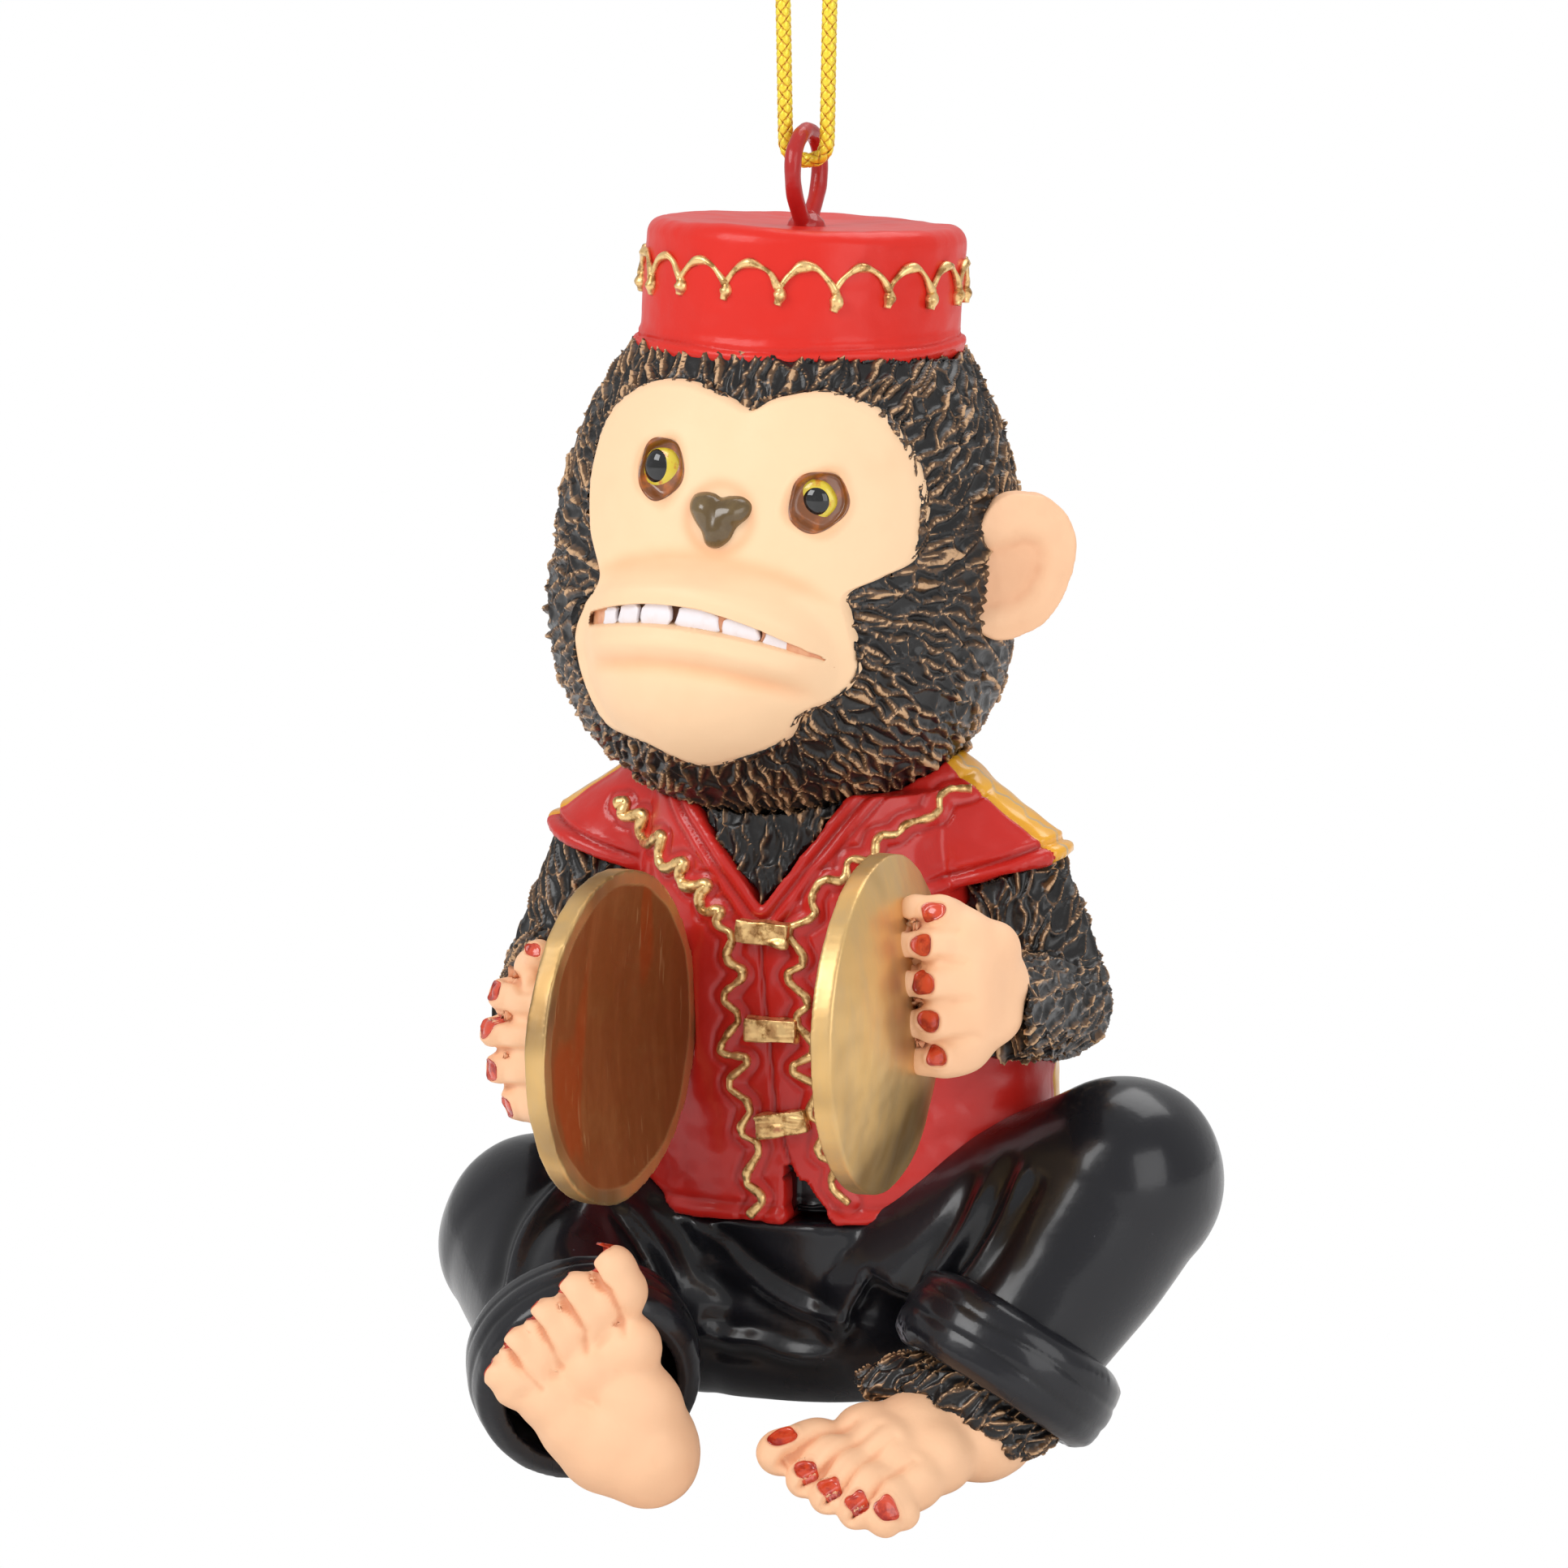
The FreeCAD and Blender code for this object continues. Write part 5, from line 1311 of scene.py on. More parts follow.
# %% Scallops
def repeat_round(name, count, uneven, seed, paint):
    """A node tree that copies a mesh round Z, each copy a little taller or lower."""
    group = bpy.data.node_groups.new(name, "GeometryNodeTree")
    sockets = (
        ("Geometry", "INPUT", "NodeSocketGeometry"),
        ("Count", "INPUT", "NodeSocketInt"),
        ("Uneven", "INPUT", "NodeSocketFloat"),
        ("Seed", "INPUT", "NodeSocketInt"),
        ("Paint", "INPUT", "NodeSocketMaterial"),
        ("Geometry", "OUTPUT", "NodeSocketGeometry"),
    )
    ids = {}
    for label, way, kind in sockets:
        socket = group.interface.new_socket(name=label, in_out=way, socket_type=kind)
        if way == "INPUT":
            ids[label] = socket.identifier
    tree = Tree(group)
    given = tree.make("NodeGroupInput").socket.node
    mesh_in, count_in, uneven_in, seed_in, paint_in = (Signal(tree, socket) for socket in given.outputs[:5])
    spots = tree.make("GeometryNodeMeshLine", None, {"Count": count_in, "Offset": (0, 0, 0)}, "Mesh")
    index = tree.make("GeometryNodeInputIndex")
    rotation = tree.make("ShaderNodeCombineXYZ", None, {"Z": index * (2 * math.pi) / count_in}, "Vector")
    limits = {2: 1 - uneven_in, 3: 1 + uneven_in, "Seed": seed_in}
    stretch = tree.make("FunctionNodeRandomValue", None, limits, 1)
    scale = tree.make("ShaderNodeCombineXYZ", None, {"X": 1, "Y": 1, "Z": stretch}, "Vector")
    placing = {"Points": spots, "Instance": mesh_in, "Rotation": rotation, "Scale": scale}
    copies = tree.make("GeometryNodeInstanceOnPoints", None, placing, "Instances")
    real = tree.make("GeometryNodeRealizeInstances", None, {"Geometry": copies}, "Geometry")
    painted = tree.make("GeometryNodeSetMaterial", None, {"Geometry": real, "Material": paint_in}, "Geometry")
    tree.make("NodeGroupOutput", None, {"Geometry": painted})
    return group, {ids["Count"]: count, ids["Uneven"]: uneven, ids["Seed"]: seed, ids["Paint"]: paint}


def with_tree(obj, group, values):
    """Run a node tree on an object and keep the result as its mesh."""
    step = obj.modifiers.new(group.name, "NODES")
    step.node_group = group
    for socket, value in values.items():
        step[socket] = value
    return applied(obj)


SCALLOPS = 18
SCALLOP_RISE = 1.75
SCALLOP_DROP = 1.45
SCALLOP_PHASE = math.radians(0.8)
SCALLOP_PROUD = 0.12
PEAK_LEVEL = -2.2
UNEVEN = 0.14


def scallop_part(name, along, height, width, rise, swell):
    """A bead on the hat's side, from distances along it and heights."""
    angle = along / HAT_RADIUS - math.pi / 2 + SCALLOP_PHASE
    reach = HAT_RADIUS + SCALLOP_PROUD
    path = np.stack([reach * np.cos(angle), reach * np.sin(angle), height], 1)
    return bead(name, path, unit(path * (1, 1, 0)), width * swell, rise * swell, 8)


half_pitch = math.pi * HAT_RADIUS / SCALLOPS
t = np.linspace(-1, 1, 26)
swell = 0.95 + 0.3 * np.cos(5 * t + 0.6)
arch = scallop_part("arch", t * (half_pitch + 0.05), -SCALLOP_RISE * np.abs(t) ** 2.1, 0.62, 0.34, swell)
t = np.linspace(0, 1, 14)
swell = 0.8 + 0.45 * np.sin(np.pi * (0.1 + 0.75 * t)) ** 2 - 0.15 * np.sin(9 * t)
height = -SCALLOP_RISE + 0.25 - SCALLOP_DROP * t
drop = scallop_part("drop", half_pitch + 0.12 * np.sin(4 * t), height, 0.74, 0.42, swell)
scallops = joined("hat_scallops", (arch, drop))
scallops.data.transform(Matrix.Translation((0, 0, -TOE_LEVEL)))
group, values = repeat_round("scallops", SCALLOPS, UNEVEN, 5, gold)
ring = Clay(with_tree(scallops, group, values))
ring.points += TO_FIGURE + (0, 0, PEAK_LEVEL)
ring.points = ring.points @ hat_turn.T + HAT_TOP
ring.points += 0.10 * np.stack([grain(ring.points, 1.1, 62 + axis) for axis in range(3)], 1)
ring.write()
finish_piece(scallops, gold, "hat_braid")

# %% [markdown]
# ## Screw eye
#
# The eye is a wire bent to a loop. Its two ends meet at the hat, where paint has pooled.

# %% Screw eye
LOOP_LEVEL = 100.0
LOOP_WIRE = 0.64
POOLED_PAINT = [(0, -0.5, 95.8, 1.0), (0, 0.5, 95.8, 1.0), (0, 0, 95.3, 1.6)]
half_eye = [(0.05, 3.0), (1.7, 2.6), (2.95, 1.3), (3.1, -0.4), (2.5, -2.0), (1.3, -3.4), (0.62, -4.3)]
loop_line = [(0, -y, LOOP_LEVEL + z, LOOP_WIRE) for y, z in reversed(half_eye)]
loop_line += [(0, y, LOOP_LEVEL + z, LOOP_WIRE) for y, z in half_eye]
eye_spots = [*strand_of(loop_line, 0.14), *POOLED_PAINT]
eye = clay("screw_eye_loop", [], 0.09, balls("eye_balls", eye_spots))
eye.relax(10)
eye.push(0.05 * grain(eye.points, 1.4, 65) + 0.02)
eye_screw_red = gloss_coat("eye_screw_red", (0.44, 0.020, 0.018), (0.30, 0.012, 0.011), 0.3, 0.2)
finish_piece(eye.obj, eye_screw_red, "screw_eye")

# %% [markdown]
# ## The cord
#
# A braided metallic cord goes down one side, under the wire of the screw eye and up the other side,
# and a knot closes the loop. The loop is one smooth spline, drawn without thickness, and the braid is
# made round the line of that spline: eight flat strands, four each way, that dip under and over each
# other as the bobbins of a braiding machine lay them. The knot is the same cord on the path of a
# trefoil, which is what an overhand knot pulled tight looks like.

# %% Cord and knot
STRAND = [(0.75, -0.6), (2.1, -12.0), (2.5, -30.0), (1.9, -48.0), (1.72, -58.4)]
BIGHT_LEVEL = -60.0
BIGHT = 1.65
BRAID_PITCH = 4.2
BRAID_RADIUS = 0.44
BRAID_DIP = 0.07
STRANDS_EACH_WAY = 4
STRAND_WIDTH = 0.60
CORE_WIDTH = 0.8


def spline_line(points):
    """The points that a smooth spline through a frame of control points follows."""
    data = bpy.data.curves.new("route", "CURVE")
    data.dimensions = "3D"
    data.resolution_u = 24
    spline = data.splines.new("NURBS")
    spline.points.add(len(points) - 1)
    for point, spot in zip(spline.points, points):
        point.co = (*spot, 1)
    spline.order_u = 3
    spline.use_endpoint_u = True
    curve = linked("route", data)
    mesh = bpy.data.meshes.new_from_object(curve.evaluated_get(bpy.context.evaluated_depsgraph_get()))
    line = np.array([vert.co[:] for vert in mesh.vertices])
    bpy.data.objects.remove(curve)
    bpy.data.meshes.remove(mesh)
    return line


def braided(name, line, first_side):
    """Eight flat strands round a line, and a core under them, which the cord's paint darkens as painted
    shade. The line is in millimetres.
    """
    line = evenly(line, 0.2)
    run = unit(np.gradient(line, axis=0))
    side = np.empty_like(line)
    last = np.array(first_side, float)
    for number, direction in enumerate(run):
        last = unit(last - direction * (last @ direction))
        side[number] = last
    other = np.cross(run, side)
    lay = 2 * math.pi * along_line(line) / BRAID_PITCH
    full = np.ones(len(line))
    pieces = [bead(name, line, side, CORE_WIDTH * full, CORE_WIDTH * full / 2, 8)]
    for way in (-1, 1):
        dip = way * BRAID_DIP * np.cos(STRANDS_EACH_WAY * lay)
        for number in range(STRANDS_EACH_WAY):
            turn = way * lay + number * 2 * math.pi / STRANDS_EACH_WAY
            out = side * np.cos(turn)[:, None] + other * np.sin(turn)[:, None]
            path = line + out * (BRAID_RADIUS + dip)[:, None]
            pieces.append(bead(name, path, out, STRAND_WIDTH * full, STRAND_WIDTH * full * 0.17, 8))
    cord = joined(name, pieces)
    points = Clay(cord)
    search = nearest(line)
    gap = np.array([search.find(spot)[2] for spot in points.points.tolist()])
    points.mark("rise", smooth_step(0.46, 0.60, gap))
    return cord


print("braid of", 2 * STRANDS_EACH_WAY, "strands, one turn in", BRAID_PITCH, "mm")

# %% [markdown]
# ## Laying the cord
#
# The strands rise and dip, and the paint reads how high each point lies: a painted highlight on top, painted
# shade below.

# %% Braid the cord
def cord_paint():
    """Metallic yellow as a painted highlight on top of each strand, and painted shade, orange brown to near
    black, where it dips and on the core.
    """
    made, tree = material("cord_gold")
    rise = tree.attribute("rise")
    fine = tree.noise(0.25, 2.0)
    # painted shade deep in the braid and on the core, orange gold between, and a painted highlight on the top
    # of each strand
    tint = tree.mix(rise.smooth(0.05, 0.45), (0.07, 0.024, 0.003), (0.62, 0.27, 0.016))
    tint = tree.mix((rise + (fine - 0.5) * 0.4).smooth(0.5, 0.9), tint, (0.92, 0.74, 0.045))
    return finished(made, tree, {"Base Color": tint, "Metallic": 0.25, "Roughness": 0.34, "Coat Weight": 0.2})


cord_gold = cord_paint()
down = [(-x, z) for x, z in STRAND] + [(-BIGHT, BIGHT_LEVEL - BIGHT)]
route = down + [(-x, z) for x, z in reversed(down)]
cord_line = spline_line([(x, 0, z) for x, z in route])
cord = braided("braided_cord", cord_line - TO_FIGURE, (0, 1, 0))
finish_piece(cord, cord_gold, "hanging_cord", body=CORD_BODY)

KNOT_LEVEL = 0.75
KNOT_SIZE = 0.47
t = np.linspace(0, 2 * math.pi, 160)
trefoil = np.stack([np.sin(t) + 2 * np.sin(2 * t), 1.2 * np.sin(3 * t), 2 * np.cos(2 * t) - np.cos(t)], 1)
knot_line = trefoil * KNOT_SIZE + (0, 0, KNOT_LEVEL)
knot = braided("cord_knot_tied", knot_line - TO_FIGURE, (0, 1, 0))
finish_piece(knot, cord_gold, "cord_knot", body=CORD_BODY)
route[0][0] * MM
route[0][1] * MM

# %% [markdown]
# ## Cymbals
#
# Both cymbals are the turned disc with softened, slightly uneven rims. The brown inside stops short
# of the gold rim, and both faces carry fine scratches.

# %% Cymbals
# the middle of each cymbal's rim, and how many degrees it is turned
CYMBALS = {"right": ((-6.5, -22.8, 36.5), 6.0), "left": ((13.1, -22.8, 39.0), 0.0)}
INNER_RADIUS = 11.6


def cymbal_paint():
    """Gold with dark smudges, and brown paint inside with scratches and a streak of orange."""
    made, tree = material("cymbal_gold")
    inner = tree.attribute("inner")
    smudge = tree.noise(9.0, 2.0)

    def drawn_out(stretch, turn):
        """Coordinates that draw a pattern out to lines, turned about X."""
        inputs = {"Vector": tree.place(), "Scale": (1, 1, stretch), "Rotation": (turn, 0.0, 0.0)}
        return tree.make("ShaderNodeMapping", None, inputs, "Vector")

    hazy = drawn_out(0.22, 0.5)
    brushed = tree.noise(1.6, 4.0, where=hazy, roughness=0.6)
    scratch = tree.noise(0.45, 2.0, where=drawn_out(0.07, -0.7)).smooth(0.66, 0.74)
    streak = tree.noise(6.0, 1.0, where=hazy).smooth(0.66, 0.70)
    outside = tree.mix(smudge.smooth(0.42, 0.72), (0.80, 0.51, 0.20), (0.34, 0.20, 0.075))
    outside = tree.mix((brushed - 0.4).most(0) * 0.9, outside, (0.50, 0.40, 0.27))
    inside = tree.mix(brushed.smooth(0.40, 0.75), (0.24, 0.072, 0.016), (0.30, 0.10, 0.028))
    inside = tree.mix(streak * 0.7, inside, (0.36, 0.055, 0.005))
    inside = tree.mix(scratch * 0.5, inside, (0.48, 0.26, 0.12))
    inputs = {
        "Base Color": tree.mix(inner, outside, inside),
        "Metallic": 0.75 - inner * 0.72,
        "Roughness": 0.42 + (smudge - 0.5) * 0.2,
        "Normal": tree.bump(0.12, brushed + smudge),
        "Coat Weight": inner * 0.12,
    }
    return finished(made, tree, inputs)


cymbal_gold = cymbal_paint()
for side, (centre, turn) in CYMBALS.items():
    disc = clay(side + "_cymbal_disc", [side + "_cymbal"], 0.17)
    disc.relax(4)
    axis = np.array(Matrix.Rotation(math.radians(-turn), 3, "Z") @ Vector((SIGNS[side], 0, 0)))
    arm = disc.points - centre
    out = np.linalg.norm(arm - (arm @ axis)[:, None] * axis, axis=1)
    disc.push(0.10 * grain(disc.points, 5.0, 70) + 0.03 * grain(disc.points, 1.5, 71))
    edge = out + 0.25 * grain(disc.points, 4.0, 72) - INNER_RADIUS
    disc.mark("inner", smooth_step(0.15, -0.15, edge) * (disc.normals @ axis < -0.5))
    finish_piece(disc.obj, cymbal_gold, side + "_cymbal")

# %% [markdown]
# ## Hands
#
# Each hand is a smooth mitten with five stubby finger tips, melted from balls. The fingers are only
# parted by short creases that start at the tips and fade over the back of the hand. A nail is
# a little dish pressed into its finger: the skin sinks by its outline, and a glossy plate lies in it.

# %% Hands
HANDS = {
    # balls of the finger tips and of the mitten: x, y, z, radius
    "left": [
        (16.6, -22.3, 47.7, 1.35), (18.6, -22.3, 47.4, 1.7), (16.4, -23.6, 45.4, 1.3),
        (18.8, -23.6, 45.3, 1.7), (16.3, -24.0, 42.6, 1.3), (18.9, -23.9, 42.5, 1.8),
        (16.7, -23.3, 39.5, 1.35), (18.9, -23.3, 39.6, 1.8), (17.2, -22.3, 36.5, 1.4),
        (18.8, -22.2, 36.8, 1.7), (21.9, -19.8, 44.6, 2.3), (21.9, -19.8, 39.6, 2.4),
        (20.2, -21.3, 45.6, 2.4), (20.4, -21.6, 43.6, 2.9), (20.5, -21.7, 41.5, 2.9),
        (20.4, -21.5, 39.5, 2.8), (19.9, -21.2, 37.6, 2.5), (21.2, -18.6, 41.8, 3.2),
        (18.4, -20.6, 46.6, 2.0), (18.4, -21.0, 43.8, 2.2), (18.4, -21.0, 41.0, 2.2),
        (18.4, -20.8, 38.4, 2.1),
    ],
    "right": [
        (-13.4, -22.2, 42.4, 1.3), (-14.5, -21.0, 41.2, 1.4), (-16.2, -21.6, 38.9, 1.6),
        (-14.2, -22.4, 38.9, 1.7), (-16.7, -21.8, 36.0, 1.7), (-14.4, -22.6, 36.0, 1.8),
        (-16.3, -21.7, 33.2, 1.7), (-14.2, -22.5, 33.2, 1.7), (-15.1, -21.6, 30.7, 1.6),
        (-13.4, -22.2, 30.7, 1.6), (-12.2, -23.0, 38.8, 1.5), (-12.2, -23.2, 36.0, 1.6),
        (-12.2, -23.0, 33.2, 1.5), (-12.2, -22.6, 30.9, 1.4), (-14.3, -19.6, 38.4, 2.4),
        (-14.8, -19.6, 35.8, 2.8), (-14.4, -19.6, 33.2, 2.6), (-13.6, -19.8, 31.6, 2.1),
        (-14.0, -18.6, 40.2, 2.0),
    ],
}
HAND_CREASES = {
    "left": [
        [(15.2, 47.1), (16.5, 46.8), (17.7, 47.1), (18.9, 47.1), (20.4, 46.7)],
        [(15.2, 43.7), (16.6, 44.0), (17.9, 44.0), (19.4, 44.5), (21.1, 44.3)],
        [(15.4, 41.4), (16.6, 40.9), (17.7, 41.1), (18.8, 41.3), (21.6, 41.5)],
        [(15.9, 38.2), (18.1, 37.6), (18.9, 37.8), (20.4, 38.4), (21.8, 38.6)],
    ],
    "right": [
        [(-17.2, 40.6), (-15.2, 40.4), (-14.3, 39.9), (-13.0, 40.2)],
        [(-18.4, 37.4), (-17.2, 37.5), (-15.7, 37.4), (-13.6, 37.6)],
        [(-18.4, 34.6), (-17.2, 34.6), (-15.4, 34.9), (-13.6, 35.1)],
        [(-17.8, 31.8), (-16.2, 31.8), (-15.0, 32.1), (-13.2, 32.2)],
    ],
}
NAILS = {
    # where the nail lies, which way it faces, and half its length and width
    "left": [
        (18.6, -24.1, 48.3, (0.15, -0.85, 0.5), (0.95, 0.68)),
        (18.0, -25.4, 45.7, (-0.05, -1.0, 0.15), (0.88, 0.84)),
        (18.3, -25.8, 42.8, (0.0, -1.0, 0.0), (0.98, 0.86)),
        (18.6, -25.2, 39.9, (0.0, -1.0, -0.05), (0.92, 0.82)),
        (18.9, -24.0, 37.0, (0.1, -1.0, -0.15), (0.80, 0.75)),
    ],
    "right": [
        (-14.0, -23.3, 43.3, (-0.5, -0.5, 0.7), (0.7, 0.5)),
        (-17.3, -22.6, 39.4, (-0.85, -0.5, 0.2), (0.85, 0.8)),
        (-17.8, -22.8, 36.6, (-0.85, -0.5, 0.05), (0.95, 0.9)),
        (-17.3, -22.7, 33.2, (-0.8, -0.6, -0.05), (0.95, 0.85)),
        (-16.1, -22.5, 30.4, (-0.75, -0.6, -0.25), (0.95, 0.8)),
    ],
}
print("hands of", {side: len(spots) for side, spots in HANDS.items()}, "balls")

# %% [markdown]
# ## Nails
#
# A nail has its own three axes. It is pressed into the skin as a rounded square, and its plate is cast
# onto the sunken skin by rays, so that it follows the finger.

# %% Nails
NAIL_DEPTH = 0.28
NAIL_LIFT = 0.10
NAIL_SQUARENESS = 2.6


def nail_frame(facing, along):
    """The nail's own axes: along the finger, across it, and out of it."""
    out = unit(np.array(facing, float))
    along = np.array(along, float)
    along = unit(along - out * (along @ out))
    return along, np.cross(out, along), out


def squarish(u, v):
    """Distance from a middle, counted so that 1 is a rounded square."""
    return (np.abs(u) ** NAIL_SQUARENESS + np.abs(v) ** NAIL_SQUARENESS) ** (1 / NAIL_SQUARENESS)


def press_nail(skin, centre, axes, long, wide):
    """Sink the skin under a nail and raise a soft lip round it."""
    a, b, out = axes
    arm = skin.points - centre
    near = (np.linalg.norm(arm, axis=1) < 2.6) & (skin.normals @ out > 0.1)
    reach = squarish(arm @ a / long, arm @ b / wide)
    sink = NAIL_DEPTH * smooth_step(1.0, 0.8, reach) - 0.10 * hill(reach - 1.2, 0.2)
    skin.points -= out * (sink * near)[:, None]
    return hill(reach - 1.05, 0.12) * near


def nail_plate(name, skin_tree, centre, axes, long, wide, rings=7, count=36):
    """A thin plate that follows the sunken skin, a little over it."""
    a, b, out = axes
    angle = np.linspace(0, 2 * np.pi, count, endpoint=False)
    rim = np.stack([np.cos(angle), np.sin(angle)], 1)
    rim *= ((1 + 0.07 * np.sin(3 * angle + centre[2])) / squarish(*rim.T))[:, None]
    flat = np.vstack([np.zeros((1, 2))] + [rim * share for share in np.linspace(0, 1, rings + 1)[1:]])
    points = []
    for u, v in flat * (long, wide) * 0.95:
        start = centre + a * u + b * v
        spot = skin_tree.ray_cast(tuple(start + out * 3), tuple(-out))[0]
        points.append(np.array(spot) if spot is not None else start)
    top = np.array(points) + out * NAIL_LIFT
    verts = np.vstack([top, top[-count:] - out * 0.5, top[:1] - out * 0.5])
    return solid_mesh(name, verts, disc_faces(rings, count))


skin_flesh = flesh_paint("skin_flesh", (0.95, 0.575, 0.345), (0.70, 0.27, 0.13))
nail_red = gloss_paint("nail_red", (0.68, 0.065, 0.022), (0.36, 0.016, 0.008), 1.3, 0.45, 0.66, rough=0.2)


def with_nails(skin, name, node, nail_node, nails, along):
    """Press the nails into a soft skin, mark its creases and the edges round the nails for painted shade, and
    make the plates.
    """
    lips = np.zeros(len(skin.points))
    framed = [(np.array(spot), nail_frame(facing, along), *size) for *spot, facing, size in nails]
    for nail in framed:
        lips = np.maximum(lips, press_nail(skin, *nail))
    skin.write()
    # painted shade in the creases, found from the skin's curvature, and round the edge of each nail
    crease = np.clip(-curvature(skin) * 1.3 - 0.15, 0, 1)
    skin.mark("crease_shade", np.clip(0.5 * lips + crease, 0, 1))
    skin_tree = tree_of(skin.obj)
    plates = [nail_plate(name, skin_tree, *nail) for nail in framed]
    finish_piece(skin.obj, skin_flesh, node)
    finish_piece(joined(name + "_nails", plates), nail_red, nail_node)


for side, sign in SIGNS.items():
    hand = melted(side + "_hand_skin", HANDS[side], 0.15, 0.42)
    x, _, z = hand.points.T
    outer = smooth_step(0.6, 0.1, hand.normals[:, 1])
    hand.push(-creases(x, z, HAND_CREASES[side], 0.85, 0.32) * outer)
    hand.relax(1)
    hand.push(0.06 * grain(hand.points, 2.5, 80) + 0.015 * grain(hand.points, 0.9, 81))
    name = side + "_hand"
    with_nails(hand, name, name, side + "_fingernails", NAILS[side], (-sign, -0.4, 0))

# %% [markdown]
# ## Ears
#
# The ears are thick shells: a broad flat rim round a shallow dish that opens towards the cheek. They
# are reliefs like the face, each in a plane of its own, and the clay then rounds their edges.

# %% Ears
EAR_OUTLINE = [
    (-1.6, 5.5), (0.5, 5.6), (1.7, 5.35), (2.7, 4.7), (3.55, 3.6), (4.0, 2.4), (4.1, 1.2), (4.0, -0.2),
    (3.6, -1.7), (2.9, -3.1), (1.9, -4.4), (0.8, -5.1), (-0.4, -5.55), (-1.6, -5.6), (-2.8, -5.0),
    (-3.8, -3.4), (-4.3, -1.0), (-4.1, 1.5), (-3.1, 4.2),
]
DISH = [
    (-4.4, 1.9), (-2.4, 1.8), (-0.4, 2.6), (1.2, 2.3), (1.9, 0.8), (1.6, -1.3), (0.5, -2.8), (-1.8, -3.7),
    (-4.4, -3.6),
]
# the middle of each ear, and how many degrees its face is turned outwards
EAR_PLACES = {"right": ((-17.9, 4.2, 2.6), 62), "left": ((19.4, -1.9, 4.1), 33)}
ear_rim = closed_line(EAR_OUTLINE, 150)
dish_rim = closed_line(DISH, 120)


def is_inside(x, z, rim):
    """Whether a closed line goes round each point."""
    turn = np.zeros(len(x))
    for a, b in zip(rim, np.roll(rim, -1, 0)):
        ax, az, bx, bz = a[0] - x, a[1] - z, b[0] - x, b[1] - z
        turn += np.arctan2(ax * bz - az * bx, ax * bx + az * bz)
    return np.abs(turn) > np.pi


def dish_gap(x, z):
    """Distance to the dish's edge, above zero inside it."""
    arm = np.stack([x, z], 1)[:, None] - dish_rim[None]
    return np.where(is_inside(x, z, dish_rim), 1, -1) * np.linalg.norm(arm, axis=2).min(1)


def ear_depth(x, z):
    """How deep the ear's face lies in its own frame."""
    gap = dish_gap(x, z)
    front = 0.75 - 0.45 * smooth_step(-0.5, 0.9, gap) - 0.012 * (x * x + z * z)
    front += 0.12 * hill(gap - 1.5, 0.45) * smooth_step(-1.5, 0.5, x)
    front += 0.08 * hill(gap + 0.9, 0.5)
    return -front


for side, (centre, turn) in EAR_PLACES.items():
    sign = SIGNS[side]
    ear_axes = np.array(Matrix.Rotation(math.radians(turn) * sign, 3, "Z"))
    mirror = np.array((sign, 1, 1))

    def to_ear(points):
        return from_head((points * mirror) @ ear_axes.T + centre)

    slab = relief("ear_slab", ear_rim, (0, 0), 12, ear_depth, 1.3, to_ear)
    slab_mesh = slab.data
    bpy.data.objects.remove(slab)
    ear = clay(side + "_ear_skin", [], 0.15, slab_mesh)
    ear.relax(30)
    own = ((on_head(ear.points) - centre) @ ear_axes) * mirror
    hollow = smooth_step(-0.2, 0.8, dish_gap(own[:, 0], own[:, 2])) * (own[:, 1] < 0.4)
    ear.push(0.09 * grain(ear.points, 2.2, 84) + 0.03 * grain(ear.points, 0.8, 85))
    # painted shade in the dish and in the creases
    crease = np.clip(-curvature(ear) * 0.8 - 0.1, 0, 1)
    ear.mark("crease_shade", np.clip(0.3 * hollow + crease, 0, 1))
    finish_piece(ear.obj, skin_flesh, side + "_ear")

# %% [markdown]
# ## Feet
#
# A foot is built in its own frame: X to the toes, Y to the big toe, Z out of the top of the foot. Balls
# give a broad pad with five short toes on it, and creases part the toes. The right foot shows its
# sole, the left one its top, so the creases are pressed on that side.

